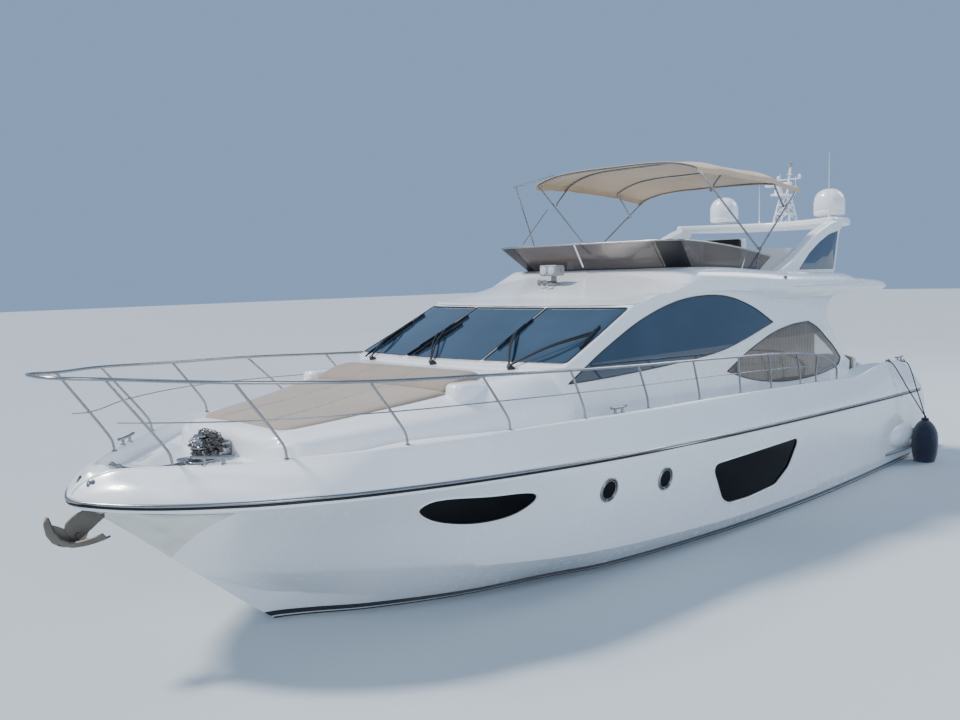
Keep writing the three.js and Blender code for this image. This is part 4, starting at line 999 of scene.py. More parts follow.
def stern_tool():
    """What lies forward of the stern, with its corners rounded in plan."""
    rings = []
    for z in [*np.linspace(-1.6, 0, 3), *np.linspace(0.08, 2.3, 40), 3.2]:
        aft = stern_x(z)
        wide = stern_breadth(z) + 0.01
        port = [(10.0, 3.4)]
        for a in bends(8, QUARTER_R):
            port.append((aft + QUARTER_R * (1 - math.sin(a)), wide - QUARTER_R * (1 - math.cos(a))))
        rings.append([(x, y, z) for x, y in port] + [(x, -y, z) for x, y in reversed(port)])
    return solid(rings)


BOW_WINDOW = [
    (5.78, 1.58), (5.82, 1.5), (5.6, 1.33), (5.25, 1.21), (4.85, 1.17), (4.5, 1.23), (4.3, 1.38),
    (4.33, 1.45), (5.0, 1.53),
]
MID_WINDOW = [
    (0.64, 1.24), (0.7, 1.16), (0.4, 0.68), (0.2, 0.58), (-0.4, 0.56), (-1.25, 0.6), (-1.7, 0.82),
    (-2.0, 1.18), (-1.94, 1.25),
]
PORTHOLES = [(3.1, 1.3), (1.93, 1.25)]
PORTHOLE_R = 0.15
RECESS = 0.035
PANE_THICK = 0.012
HULL_CUT = (0.2, 3.0)  # how far out a hull window's cut reaches

ENGINE_BAY = ((-6.6, -1.5, 0.15), (-4.35, 1.5, 1.2))
HATCH_THROAT = ((-6.35, -1.25, 1.1), (-4.6, 1.25, 1.4))
HATCH_SEAT = ((-6.406, -1.306, 1.32), (-4.544, 1.306, 1.4))
COCKPIT = ((-7.15, -1.83, 1.38), (-3.99, 1.83, 3.0))
STEPS = [(-7.15, 1.16), (-7.43, 0.93), (-7.71, 0.7), (-7.99, 0.44)]
STEP_Y = (1.33, 1.9)


def box_tool(low, high):
    (x0, y0, z0), (x1, y1, z1) = low, high
    outline = [(x0, y0), (x1, y0), (x1, y1), (x0, y1)]
    return prism(outline, z0, z1, axis=2)


def cut_stern(obj):
    """Cockpit and the steps down to the platform."""
    carved(obj, box_tool(*COCKPIT))
    for x, z in STEPS:
        for side in (1, -1):
            y0, y1 = sorted((side * STEP_Y[0], side * STEP_Y[1]))
            carved(obj, box_tool((-9.0, y0, z), (x, y1, 3.0)))
    return obj


def window_outlines():
    bow = spaced(spline(BOW_WINDOW, 6, closed=True), 0.04, closed=True)
    mid = rounded(MID_WINDOW, 0.09, 0.04)
    return {"bow": bow, "mid": mid}


def bent_loop(points, radius):
    """A closed outline with straight sides and rounded corners."""
    pts = [np.array(p, float) for p in points]
    line = []
    for i, p in enumerate(pts):
        back = pts[i - 1] - p
        ahead = pts[(i + 1) % len(pts)] - p
        reach_a = min(radius, 0.48 * np.linalg.norm(back))
        reach_b = min(radius, 0.48 * np.linalg.norm(ahead))
        a = p + back / np.linalg.norm(back) * reach_a
        b = p + ahead / np.linalg.norm(ahead) * reach_b
        for k in range(7):
            t = k / 6
            line.append((1 - t) ** 2 * a + 2 * t * (1 - t) * p + t * t * b)
    return np.array(line)


def rounded(points, radius, step=0.05):
    """A closed outline with rounded corners, cut into even steps."""
    return spaced(bent_loop(points, radius), step, closed=True)


SKINS = {}


def make_hull():
    shell = hull_solid()
    SKINS["hull"] = tree_of(shell)
    bed = hull_solid(RECESS)
    rind = carved(hull_solid(-0.03), bed, keep=True)
    pane_rind = carved(hull_solid(RECESS - PANE_THICK), bed)
    hull = carved(shell, stern_tool(), "INTERSECT")
    for name, outline in window_outlines().items():
        tool = carved(prism(outline, *HULL_CUT), rind, "INTERSECT", keep=True)
        pane = carved(prism(grown(outline, -0.002), *HULL_CUT), pane_rind, "INTERSECT", keep=True)
        for side, piece in (("port", copied(pane)), ("starboard", mirrored_piece(pane))):
            dress(piece, f"hull_pane_{name}_{side}", "black_glass", replaces=[f"hull_window_{name}_{side}"])
        dropped(pane)
        carved(hull, mirrored_piece(tool))
        carved(hull, tool)
    dropped(rind, pane_rind)
    for box in (ENGINE_BAY, HATCH_THROAT, HATCH_SEAT):
        carved(hull, box_tool(*box))
    cut_stern(hull)
    dress(hull, "hull_shell", ["hull_paint", "teak"], angle=24, replaces=["hull"])
    marked(hull, hull_mark)
    weighted(hull)


def hull_mark(centre, normal):
    """Teak on what lies flat in the cockpit."""
    return int(normal.z > 0.95 and centre.x < BULKHEAD_X)


def mirrored_piece(obj):
    twin = copied(obj)
    twin.data.transform(Matrix.Scale(-1, 4, Vector((0, 1, 0))))
    twin.data.flip_normals()
    return twin


BEAM_LIMIT = 2.5639


def rub_line(lift, drop, radius):
    """A line along the rub rail, from quarter to quarter round the bow, that stays inside the beam."""
    round_bow = [8.56, 8.62, 8.67, 8.71, 8.74, 8.765, 8.78]
    xs = [*np.linspace(-7.95, 6.5, 70), *np.linspace(6.6, 8.5, 34), *round_bow]
    port = [(x, min(rub_y(x) + lift, BEAM_LIMIT - radius), rub_z(x) + drop) for x in xs]
    tip = (BOW_X + lift, 0.0, rub_z(BOW_X) + drop)
    return np.array([*(mirror(port)), tip, *port[::-1]])


def make_hull_trim():
    high = sizes().rub_strip
    steel = Form().tube(rub_line(0.004, 0.012, high), high, 12, upright=True)
    steel.make("rub_rail_strip", "stainless", angle=60)
    black = Form().tube(rub_line(0.003, -0.02, 0.012), 0.012, 8)
    black.make("rub_rail_seal", "rubber", angle=60)
    skin = SKINS["hull"]
    lips = Form()
    seals = Form()
    for outline in window_outlines().values():
        lips.tube(on_side(skin, grown(outline, 0.012), 0.001), 0.011, 8, closed=True)
        seals.tube(on_side(skin, grown(outline, -0.004), -0.012), 0.008, 6, closed=True)
    lips.mirrored().make("hull_window_lips", "gelcoat", angle=60)
    seals.mirrored().make("hull_window_seals", "rubber", angle=60)
    rings = Form()
    glasses = Form()
    for x, z in PORTHOLES:
        circle = [(x + a, z + b) for a, b in round_line(PORTHOLE_R, 40)]
        rings.tube(on_side(skin, circle, 0.004), 0.013, 10, closed=True)
        rings.tube(on_side(skin, grown(circle, -0.028), 0.002), 0.007, 8, closed=True)
        levels = [on_side(skin, grown(circle, -0.012 - r), 0.004) for r in (0.0, 0.05, 0.09, 0.13)]
        glasses.skin(levels, ends=False)
        glasses.add(levels[-1], [tuple(range(len(circle)))])
    rings.mirrored().make("porthole_rings", "stainless", angle=60)
    glasses.mirrored().make("porthole_glass", "black_glass", angle=60)


# Deck, coachroof and coamings

COACHROOF = [
    (7.06, 0.98, 2.33, 1.18), (6.9, 1.02, 2.385, 1.25), (6.0, 1.23, 2.48, 1.48), (4.85, 1.5, 2.62, 1.8),
    (4.1, 1.72, 2.76, 1.98), (3.3, 1.9, 2.85, 2.09),
]


ROOF_FOOT = 2.16


def coachroof_rings():
    half_at, top_at, foot_at = columns(COACHROOF, 3)
    rings = []
    nose = [(7.02, 0.42), (7.01, 0.66), (6.98, 0.82), (6.93, 0.93), (6.86, 0.98), (6.76, 1.0)]
    stations = [*nose, *[(x, 1.0) for x in np.linspace(6.6, 3.3, 26)]]
    for x, share in stations:
        half = half_at(x) * (0.55 + 0.45 * share)
        foot = foot_at(x) * (0.6 + 0.4 * share)
        top = ROOF_FOOT + (top_at(x) - ROOF_FOOT) * share
        points = [
            (x, 0, 2.0),
            (x, foot, 2.0),
            (x, foot - 0.02, ROOF_FOOT),
            (x, (half + foot) / 2 + 0.05, (top + 2.18) / 2 + 0.02),
            (x, half + 0.015, top - 0.045),
            (x, half - 0.07, top - 0.004),
            (x, half - 0.3, top + 0.006),
            (x, 0, top + 0.025),
        ]
        rings.append(mirrored_ring(bent(points, [1, 2], 5)))
    return rings


def deck_ring(x):
    rub = rub_y(x)
    crest = crest_y(x)
    lowest = rub_z(x) + SEAT_GAP
    top = max(crest_z(x), lowest + 0.02)
    well = well_depth(x)
    deck = max(top - well, lowest + 0.012)
    k = min(1.0, crest / 0.12)
    half = [
        (x, 0, lowest),
        (x, rub, lowest),
        (x, rub + 0.004, lowest + (top - lowest) * 0.12),
        (x, crest + (rub - crest) * 0.64, lowest + (top - lowest) * 0.56),
        (x, crest + 0.004 * k, top - 0.02),
        (x, crest - 0.012 * k, top - 0.004),
        (x, crest - 0.036 * k, top),
        (x, crest - 0.058 * k, top - 0.012 * k),
        (x, (crest - 0.078 * k) - k * 0.25 * max(well - 0.08, 0), deck),
        (x, 0, deck + 0.03 * k),
    ]
    return mirrored_ring(bent(half, [1, 8], 4))


def deck_skin():
    return solid([deck_ring(x) for x in hull_stations()])


LOCKER = ((7.78, -0.21, 1.9), (8.1, -0.07, 2.4))
LOCKER_SEAT = ((7.754, -0.236, 1.985), (8.126, -0.044, 2.4))
LOCKER_LID = ((7.76, -0.23, 1.9854), (8.12, -0.05, 2.4))


def make_deck():
    skin = deck_skin()
    lid = carved(copied(skin), box_tool(*LOCKER_LID), "INTERSECT")
    dress(lid, "locker_lid_skin", "gelcoat", "locker_lid", replaces=["anchor_locker_lid"])
    deck = carved(skin, solid(coachroof_rings()), "UNION")
    SKINS["deck"] = tree_of(deck)
    carved(deck, stern_tool(), "INTERSECT")
    carved(deck, pocket_tool())
    for box in (LOCKER, LOCKER_SEAT):
        carved(deck, box_tool(*box))
    cut_stern(deck)
    covered = ["deck_moulding", "aft_coaming"]
    dress(deck, "deck_and_coamings", ["gelcoat", "teak"], angle=28, replaces=covered)
    marked(deck, deck_mark)
    weighted(deck)


def deck_mark(centre, normal):
    """Teak on the steps down to the platform."""
    return int(normal.z > 0.98 and centre.x < -7.1 and 1.3 < abs(centre.y) < 1.92)


# Saloon

SHELL_LEVELS = [
    (1.75, 3.74, 3.46, 2.01), (2.4, 3.74, 3.46, 2.04), (2.65, 3.74, 3.48, 2.06), (2.86, 3.74, 3.5, 2.062),
    (3.2, 2.99, 2.72, 2.025), (3.58, 2.18, 1.885, 1.984), (3.72, 1.5, 1.2, 1.96),
]
SHELL_AFT = -5.3
SHELL_WALL = 0.07
GLASS = 0.018


def shell_ring(level, inset):
    z, front, corner, half = level
    half, front, corner = half - inset, front - inset, corner - inset
    aft = SHELL_AFT + inset
    port = [
        (front, 0.0),
        (corner + (front - corner) * 0.93, half * 0.25),
        (corner + (front - corner) * 0.75, half * 0.5),
        (corner + (front - corner) * 0.4, half * 0.8),
        (corner + (front - corner) * 0.14, half * 0.95),
        (corner - 0.03, half - 0.012),
        (corner - 0.16, half),
        (corner - 1.2, half + 0.01),
        (-1.5, half),
        (-3.6, half - 0.04),
        (aft, half - 0.11),
    ]
    line = spline(port, 4)
    return [(x, y, z) for x, y in line] + [(x, -y, z) for x, y in line[:0:-1]]


def shell_solid(inset, low=0.0, high=0.0):
    """The saloon's outside, or what lies an inset within it."""
    rings = []
    for a, b in zip(SHELL_LEVELS, SHELL_LEVELS[1:]):
        steps = 1 if b[0] <= 2.86 else 6
        for k in range(steps):
            t = k / steps
            rings.append(tuple(p + (q - p) * t for p, q in zip(a, b)))
    rings = eased_levels([*rings, SHELL_LEVELS[-1]])
    rings[0] = (rings[0][0] + low, *rings[0][1:])
    rings[-1] = (rings[-1][0] + high, *rings[-1][1:])
    return solid([shell_ring(level, inset) for level in rings])


def eased_levels(rings):
    """Rounds the turn between the screen and the roof."""
    rows = np.array(rings)
    soft = rows.copy()
    for i in range(1, len(rows) - 1):
        if rows[i, 0] > 2.9:
            soft[i, 1:] = (rows[i - 1, 1:] + 2 * rows[i, 1:] + rows[i + 1, 1:]) / 4
    return [tuple(row) for row in soft]


def pocket_tool():
    rings = [shell_ring(level, -SEAT_GAP) for level in SHELL_LEVELS[:4]]
    rings.append([(x, y, 3.2) for x, y, _ in rings[3]])
    return solid(rings)


SIDE_WINDOW = [
    (3.4, 2.645), (2.967, 2.878), (2.461, 3.1), (1.755, 3.368), (0.87, 3.585), (0.066, 3.652),
    (-0.627, 3.614), (-1.384, 3.421), (-2.02, 3.146), (-1.6, 3.055), (-1.028, 2.93), (-0.212, 2.79),
    (0.953, 2.712), (2.395, 2.66),
]
SIDE_TIPS = [8]
AFT_WINDOW = [
    (-0.48, 2.46), (-1.015, 2.69), (-1.5, 2.85), (-2.018, 2.98), (-2.7, 3.07), (-3.35, 3.095), (-3.7, 2.97),
    (-4.032, 2.787), (-4.45, 2.57), (-4.83, 2.34), (-4.75, 2.22), (-4.3, 2.14), (-3.514, 2.095),
    (-2.361, 2.12), (-1.227, 2.27),
]
AFT_TIPS = [5, 9]
WALL_END = [
    (-5.3, 1.0), (-5.3, 2.24), (-5.06, 2.33), (-4.8, 2.5), (-4.56, 2.68), (-4.3, 2.94), (-4.15, 3.12),
    (-4.2, 3.28), (-4.38, 3.42), (-4.8, 3.6), (-5.3, 3.8), (-7.0, 3.8), (-7.0, 1.0),
]
SCREEN_LOW = 2.905
SCREEN_HIGH = 3.545
PANES = [
    ("port", (0.775, 2.02), (0.725, 1.955)),
    ("centre", (-0.735, 0.735), (-0.685, 0.685)),
    ("starboard", (-2.02, -0.775), (-1.955, -0.725)),
]
COCKPIT_ROOM = ((-7.0, -1.86, 1.7), (-3.98, 1.86, 3.8))
DOORWAY = ((-4.1, -1.5, 1.77), (-3.7, 1.5, 3.42))
SIDE_CUTS = [("port", (1.0, 3.0)), ("starboard", (-3.0, -1.0))]
SCREEN_CUT = (1.7, 4.2)
BULKHEAD_X = -3.9


def pane_outline(low, high, shrink=0.0):
    corners = [
        (low[0] + shrink, SCREEN_LOW + shrink),
        (low[1] - shrink, SCREEN_LOW + shrink),
        (high[1] - shrink, SCREEN_HIGH - shrink),
        (high[0] + shrink, SCREEN_HIGH - shrink),
    ]
    return rounded(corners, 0.022, 0.03)


def lobed(points, tips, per=6):
    """A closed outline that turns sharply at its first point and at the tips, and is smooth between."""
    return bent([*points, points[0]], tips, per)[:-1]


def side_outlines():
    side = spaced(lobed(SIDE_WINDOW, SIDE_TIPS), 0.035, closed=True)
    aft = spaced(lobed(AFT_WINDOW, AFT_TIPS), 0.035, closed=True)
    return {"side": side, "aft": aft}


def make_saloon():
    outer = shell_solid(0.0, SEAT_GAP)
    SKINS["saloon"] = tree_of(outer)
    glass_rind = carved(copied(outer), shell_solid(GLASS))
    bulkhead = box_tool((BULKHEAD_X - 0.08, -2.2, 1), (BULKHEAD_X, 2.2, 4))
    shell = carved(outer, carved(shell_solid(SHELL_WALL, -0.1, -0.06), bulkhead))
    for box in (COCKPIT_ROOM, DOORWAY):
        carved(shell, box_tool(*box))
    for name, low, high in PANES:
        outline = pane_outline(low, high)
        carved(shell, prism(outline, *SCREEN_CUT, axis=0))
        tool = prism(grown(outline, -0.001), *SCREEN_CUT, axis=0)
        pane = carved(tool, glass_rind, "INTERSECT", keep=True)
        dress(pane, f"screen_pane_{name}", "cabin_glass", replaces=[f"windscreen_{name}"])
    for name, outline in side_outlines().items():
        for _, reach in SIDE_CUTS:
            carved(shell, prism(outline, *reach))
        tint = "cabin_glass" if name == "side" else "aft_cabin_glass"
        for side, reach in SIDE_CUTS:
            pane = carved(prism(grown(outline, -0.001), *reach), glass_rind, "INTERSECT", keep=True)
            dress(pane, f"{name}_pane_{side}", tint, replaces=[f"{name}_glass_{side}"])
    dropped(glass_rind)
    carved(shell, prism(WALL_END, -3.0, 3.0))
    dress(shell, "saloon_walls", "gelcoat", angle=30, replaces=["saloon_shell"])
    weighted(shell)


def make_saloon_trim():
    skin = SKINS["saloon"]
    seals = Form()
    for outline in side_outlines().values():
        seals.tube(on_side(skin, outline, 0.001), 0.009, 6, closed=True)
    seals.mirrored()
    for _, low, high in PANES:
        line = [cast(skin, (5.0, y, z), (-1, 0, 0), 0.001) for y, z in pane_outline(low, high)]
        seals.tube(line, 0.009, 6, closed=True)
    seals.make("window_seals", "rubber", angle=60)
    posts = Form()
    for side in (1, -1):
        rows = []
        for t in np.linspace(0, 1, 16):
            z = SCREEN_LOW + (SCREEN_HIGH - SCREEN_LOW) * t
            inner = 0.731 + (0.681 - 0.731) * t
            outer = 0.779 + (0.729 - 0.779) * t
            ys = np.linspace(inner, outer, 4)
            rows.append([cast(skin, (5.0, side * y, z), (-1, 0, 0), 0.006) for y in ys])
        backs = [[cast(skin, (5.0, p[1], p[2]), (-1, 0, 0), -0.004) for p in row] for row in rows]
        posts.between(rows, backs)
    posts.make("screen_mullions", "trim_grey", angle=40)


# Flybridge

FLY_STATIONS = [
    (2.3, 1.93, 3.568, 3.572, 3.58), (1.93, 1.966, 3.585, 3.6, 3.66), (1.7, 1.975, 3.6, 3.62, 3.725),
    (1.39, 1.976, 3.63, 3.65, 3.8), (1.0, 1.976, 3.66, 3.715, 3.885), (0.73, 1.976, 3.68, 3.77, 3.945),
    (0.46, 1.978, 3.695, 3.84, 4.01), (0.25, 1.98, 3.7, 3.87, 4.065), (0.05, 1.985, 3.705, 3.87, 4.085),
    (-0.8, 2.01, 3.705, 3.8, 4.075), (-1.5, 2.06, 3.66, 3.75, 4.04), (-2.2, 2.12, 3.54, 3.7, 4.0),
    (-3.5, 2.13, 3.52, 3.68, 3.96), (-4.9, 2.12, 3.52, 3.665, 3.92), (-5.6, 2.1, 3.52, 3.655, 3.82),
    (-6.6, 2.05, 3.52, 3.645, 3.775), (-7.1, 1.91, 3.535, 3.64, 3.745),
]
FLY_FLOOR = 3.76
FLY_WELL = [(-0.25, -1.3), (-0.56, -1.545), (-7.3, -1.55), (-7.3, 1.55), (-0.56, 1.545), (-0.25, 1.3)]
FLY_PLAN = [
    (2.235, -0.25), (2.235, 0.25), (2.165, 0.95), (2.06, 1.56), (1.94, 1.9), (1.5, 2.3), (-8.0, 2.3),
    (-8.0, -2.3), (1.5, -2.3), (1.94, -1.9), (2.06, -1.56), (2.165, -0.95),
]


eave = curve((-1.0, 0.0), (-2.2, 1.0))
roof = curve((0.15, 0.0), (0.55, 1.0))


def fly_ring(x, reads):
    half, low, edge, top = (read(x) for read in reads)
    out = eave(x)
    share = roof(x)
    panel = [
        (half - 0.03, edge + 0.014),
        (half - 0.35, edge + (top - edge) * 0.5),
        (half - 0.9, edge + (top - edge) * 0.84),
    ]
    coaming = [(half - 0.05, edge + (top - edge) * 0.6), (half - 0.17, top - 0.012), (half - 0.26, top)]
    upper = [
        (x, a[0] * share + b[0] * (1 - share), a[1] * share + b[1] * (1 - share))
        for a, b in zip(panel, coaming)
    ]
    points = [
        (x, 0, low),
        (x, half - 0.004 - 0.13 * out, low),
        (x, half - 0.002 - 0.05 * out, low + (edge - low) * 0.5),
        (x, half, edge),
        *upper,
        (x, 0, top + 0.006 + 0.014 * share),
    ]
    return mirrored_ring(bent(points, [1, 3], 5))


def fly_solid():
    reads = columns(FLY_STATIONS, 4)
    xs = [*np.linspace(2.3, -2.4, 74), *np.linspace(-2.5, -6.9, 40), *np.linspace(-6.93, -7.1, 5)]
    return solid([fly_ring(float(x), reads) for x in xs])


ROOF_SEAM = [
    (0.32, 0.0), (0.36, 0.5), (0.44, 0.905), (0.54, 1.3), (0.63, 1.55), (0.7, 1.75), (0.69, 1.86),
    (0.6, 1.93), (0.5, 1.955),
]


def make_fly_moulding():
    body = fly_solid()
    carved(body, prism(rounded(FLY_PLAN, 0.12), 3.0, 5.0, axis=2), "INTERSECT")
    SKINS["fly"] = tree_of(body)
    port = [(x, y, 0) for x, y in ROOF_SEAM]
    seam = spline([*mirror(port[1:])[::-1], *port], 6)
    groove = np.array([above("fly", x, y) for x, y, _ in seam])
    carved(body, solid(Form().tube(groove, 0.007, 8)))
    carved(body, prism(rounded(FLY_WELL, 0.15), FLY_FLOOR, 5.0, axis=2))
    dress(body, "fly_deck", "gelcoat", angle=30, replaces=["flybridge_moulding"])
    weighted(body)


DEFLECTOR_FOOT = [
    (0.2, 0, 4.085), (0.18, 0.9, 4.085), (0.1, 1.4, 4.085), (-0.05, 1.63, 4.08), (-0.4, 1.71, 4.06),
    (-1.2, 1.71, 4.01), (-2.08, 1.7, 3.97),
]
DEFLECTOR_TOP = [
    (0.62, 0, 4.49), (0.6, 0.9, 4.49), (0.57, 1.5, 4.49), (0.48, 1.78, 4.485), (0.1, 1.83, 4.475),
    (-1.2, 1.79, 4.39), (-2.48, 1.74, 4.24),
]


DARK_FROM, DARK_TO = 19, 32  # columns from the middle where the corner panels are black


def deflector_line(rows, lift):
    port = [(x, y, z + lift) for x, y, z in rows]
    return spline([*mirror(port[1:])[::-1], *port], 10)


def make_deflector():
    low = deflector_line(DEFLECTOR_FOOT, 0.004)
    high = deflector_line(DEFLECTOR_TOP, 0.0)
    rings = []
    for a, b in zip(low, high):
        out = Vector((a[0] + 1.1, a[1], 0)).normalized() * 0.007
        column = [a + (b - a) * t for t in np.linspace(0, 1, 5)]
        front = [p + np.array(out) for p in column]
        back = [p - np.array(out) for p in reversed(column)]
        rings.append(front + back)
    form = Form().skin(rings)
    wide = len(rings[0])
    for r in range(len(rings) - 1):
        if DARK_FROM <= abs(r - len(low) // 2) < DARK_TO:
            form.marks[r * wide : (r + 1) * wide] = [1] * wide
    form.make("deflector_glass", ["smoke_glass", "rubber"], angle=40, replaces=["wind_deflector"])
    rail = Form().tube(high + [0, 0, 0.004], 0.013, 10)
    rail.make("deflector_rail", "stainless", angle=60)
    seal = Form().tube([above("fly", p[0], p[1], 0.003) for p in low], 0.014, 8)
    for at in (0.24, 0.345, 0.655, 0.76):
        i = int(at * (len(low) - 1))
        seal.tube([low[i] + (high[i] - low[i]) * t for t in np.linspace(0, 1, 4)], 0.006, 6)
    seal.make("deflector_seals", "rubber", angle=60)


# Radar arch

ARCH_LEG = [
    (-2.76, 3.9), (-2.76, 3.995), (-3.3, 4.19), (-3.78, 4.44), (-4.25, 4.69), (-4.88, 4.9), (-5.23, 4.955),
    (-5.34, 4.88), (-5.35, 4.8), (-5.22, 4.7), (-5.0, 3.86),
]
ARCH_PANEL = [(-3.5, 4.0), (-3.92, 4.3), (-4.34, 4.51), (-4.74, 4.66), (-5.14, 4.73), (-4.95, 4.0)]
ARCH_BEAM = [
    (-4.85, -1.74), (-5.3, -1.2), (-5.64, -0.6), (-5.78, 0), (-5.64, 0.6), (-5.3, 1.2), (-4.85, 1.74),
    (-5.34, 1.745), (-5.9, 1.69), (-6.38, 1.38), (-6.76, 0.76), (-6.9, 0), (-6.76, -0.76),
    (-6.38, -1.38), (-5.9, -1.69), (-5.34, -1.745),
]
ARCH_TOP = 4.99
DOMES = {"port": (-6.01, 1.18), "starboard": (-6.01, -1.18)}


def make_arch():
    leg = rounded(ARCH_LEG, 0.18, 0.04)
    beam = rounded(ARCH_BEAM, 0.25)
    arch = solid(Form().slab(beam, 4.85, ARCH_TOP, 0.05, steps=5))
    for side in (1, -1):
        y0, y1 = sorted((side * 1.56, side * 1.75))
        carved(arch, solid(Form().slab(leg, y0, y1, 0.05, axis=1, steps=5)), "UNION")
    panel = rounded(ARCH_PANEL, 0.05, 0.03)
    for low, high in ((1.725, 1.8), (-1.8, -1.725)):
        carved(arch, prism(panel, low, high))
    dress(arch, "arch_moulding", "gelcoat", angle=32, replaces=["radar_arch"])
    weighted(arch)
    for side, sign in SIDES:
        y0, y1 = sorted((sign * 1.7254, sign * 1.744))
        window = Form().slab(grown(panel, -0.004), y0, y1, 0.006, axis=1)
        # The panes' blue tint is painted reflection of the sky.
        window.make(f"arch_window_{side}", "arch_glass", replaces=[f"arch_panel_{side}"])


DOME = [
    (0, 0), (0.16, 0), (0.165, 0.01), (0.12, 0.02), (0.12, 0.055), (0.17, 0.062), (0.272, 0.082),
    (0.292, 0.098), (0.3, 0.13), (0.3, 0.17), (0.297, 0.174), (0.3, 0.178), (0.3, 0.33), (0.292, 0.4),
    (0.27, 0.47), (0.23, 0.53), (0.17, 0.58), (0.09, 0.608), (0.0, 0.615),
]


def make_domes():
    for side, (x, y) in DOMES.items():
        form = Form().lathe(DOME, (x, y, ARCH_TOP + SEAT_GAP), segments=48)
        form.make(f"dome_{side}", "gelcoat", angle=40, replaces=[f"sat_dome_{side}"])


# Canopy

HOOP_PIVOT = (-2.05, 1.777, 4.371)
FRONT_FOOT_Y = 1.745
FRONT_MID_SHARE = 0.74
AFT_MID_SHARE = 0.7
PIN_INSET = 0.062
SHARES = [0.985, 0.95, 0.9, 0.83, 0.74, 0.63, 0.48, 0.31, 0.15]
SHOULDER = 4.2


def leg_point(spec, foot_y, share):
    foot = np.array((HOOP_PIVOT[0], foot_y, HOOP_PIVOT[2]))
    return foot + (np.array(spec[:3]) - foot) * share


def inboard(at):
    return (at[0], at[1] - PIN_INSET, at[2])


# Each hoop's corner (x, y, z) and the height of its crown
HOOPS = {"front": (-0.343, 1.618, 5.604, 5.76), "aft": (-3.62, 1.655, 5.446, 5.6)}
FRONT_PIN = leg_point(HOOPS["front"], FRONT_FOOT_Y, FRONT_MID_SHARE)
AFT_PIN = leg_point(HOOPS["aft"], HOOP_PIVOT[1], AFT_MID_SHARE)
HOOPS["front_mid"] = (-1.17, FRONT_PIN[1] - PIN_INSET, 5.62, 5.83)
HOOPS["aft_mid"] = (-2.73, AFT_PIN[1] - PIN_INSET, 5.56, 5.79)


def arch_line(spec, grow=0.0):
    x, half, z, crown = spec
    half += grow
    port = [(x, half * s, z + (crown - z) * (1 - s**SHOULDER)) for s in SHARES]
    return [*port, (x, 0, crown), *mirror(port)[::-1]]


def hoop_line(spec, foot):
    foot = np.array(foot, float)
    corner = np.array(spec[:3], float)
    leg = [foot, foot + (corner - foot) * 0.5, foot + (corner - foot) * 0.95]
    return spline([*leg, *arch_line(spec), *mirror(leg)[::-1]], 6)


def make_hoops():
    radius = sizes().hoop_radius
    eye = [(0, -0.016), (0.02, -0.016), (0.022, -0.01), (0.022, 0.01), (0.02, 0.016), (0, 0.016)]
    rows = [
        ("front", (HOOP_PIVOT[0], FRONT_FOOT_Y, HOOP_PIVOT[2]), "front_bow"), ("aft", HOOP_PIVOT, "boat"),
        ("front_mid", inboard(FRONT_PIN), "front_mid_bow"), ("aft_mid", inboard(AFT_PIN), "aft_mid_bow"),
    ]
    for name, foot, body in rows:
        form = Form().tube(hoop_line(HOOPS[name], foot), radius, 12)
        for side in (1, -1):
            form.lathe(eye, (foot[0], foot[1] * side, foot[2]), (0, 1, 0), 16)
        if name == "front":
            pins(form, FRONT_PIN)
        if name == "aft":
            pins(form, AFT_PIN)
            canopy_posts(form)
        form.make(f"{name}_hoop", "stainless", body, 60, replaces=[f"canopy_{name}_bow"])


def pins(form, at):
    for side in (1, -1):
        y = side * at[1]
        form.tube([(at[0], y, at[2]), (at[0], y - side * 0.045, at[2])], 0.008, 10)
        form.lathe([(0, -0.02), (0.019, -0.02), (0.019, 0.02), (0, 0.02)], (at[0], y, at[2]), (1, 0, 1), 14)


def canopy_posts(form):
    x, y, z = HOOP_PIVOT
    for side in (1, -1):
        foot = above("fly", x + 0.16, side * y)
        form.tube([foot, (x, side * y, z)], 0.014, 12)
        form.lathe([(0, 0), (0.04, 0), (0.04, 0.006), (0.018, 0.014), (0, 0.014)], foot, UP, 16)
        form.tube([(x, side * (FRONT_FOOT_Y + 0.0145), z), (x, side * (y + 0.02), z)], 0.018, 12)


CLOTH_LIFT = 0.0185
CLOTH_REACH = 0.028  # how far the cloth runs past the outer hoops
CLOTH_GIVE = 0.03
BOW_EASE = 0.22  # 0 for a straight run from hoop to hoop, 1 for a smooth one
STITCH_LIFT = (0, 0, 0.0025)
CLOTH_THICK = 0.003


def canopy_spot(u, v):
    """A point of the canopy: u runs from the front hoop aft, v from starboard to port, each 0 to 1."""
    order = ["front", "front_mid", "aft_mid", "aft"]
    xs = [HOOPS[name][0] for name in order]
    xs[0] += CLOTH_REACH
    xs[-1] -= CLOTH_REACH
    x = xs[0] + (xs[-1] - xs[0]) * u
    reads = columns([(at, *HOOPS[name][1:]) for at, name in zip(xs, order)], 3)
    i = 0 if x > xs[1] else 1 if x > xs[2] else 2
    t = (xs[i] - x) / (xs[i] - xs[i + 1])
    ahead, behind = HOOPS[order[i]][1:], HOOPS[order[i + 1]][1:]
    straight = [a + (b - a) * t for a, b in zip(ahead, behind)]
    half, z, crown = (a + BOW_EASE * (read(x) - a) for a, read in zip(straight, reads))
    across = 2 * v - 1
    slack = 4 * t * (1 - t)
    half = half + 0.022 - 0.035 * slack
    high = z + (crown - z) * (1 - abs(across) ** SHOULDER)
    sag = sizes().canopy_sag * slack * (0.35 + 0.65 * (1 - across**2))
    return np.array((x, half * across, high + CLOTH_LIFT - sag))


VALANCE = 0.085


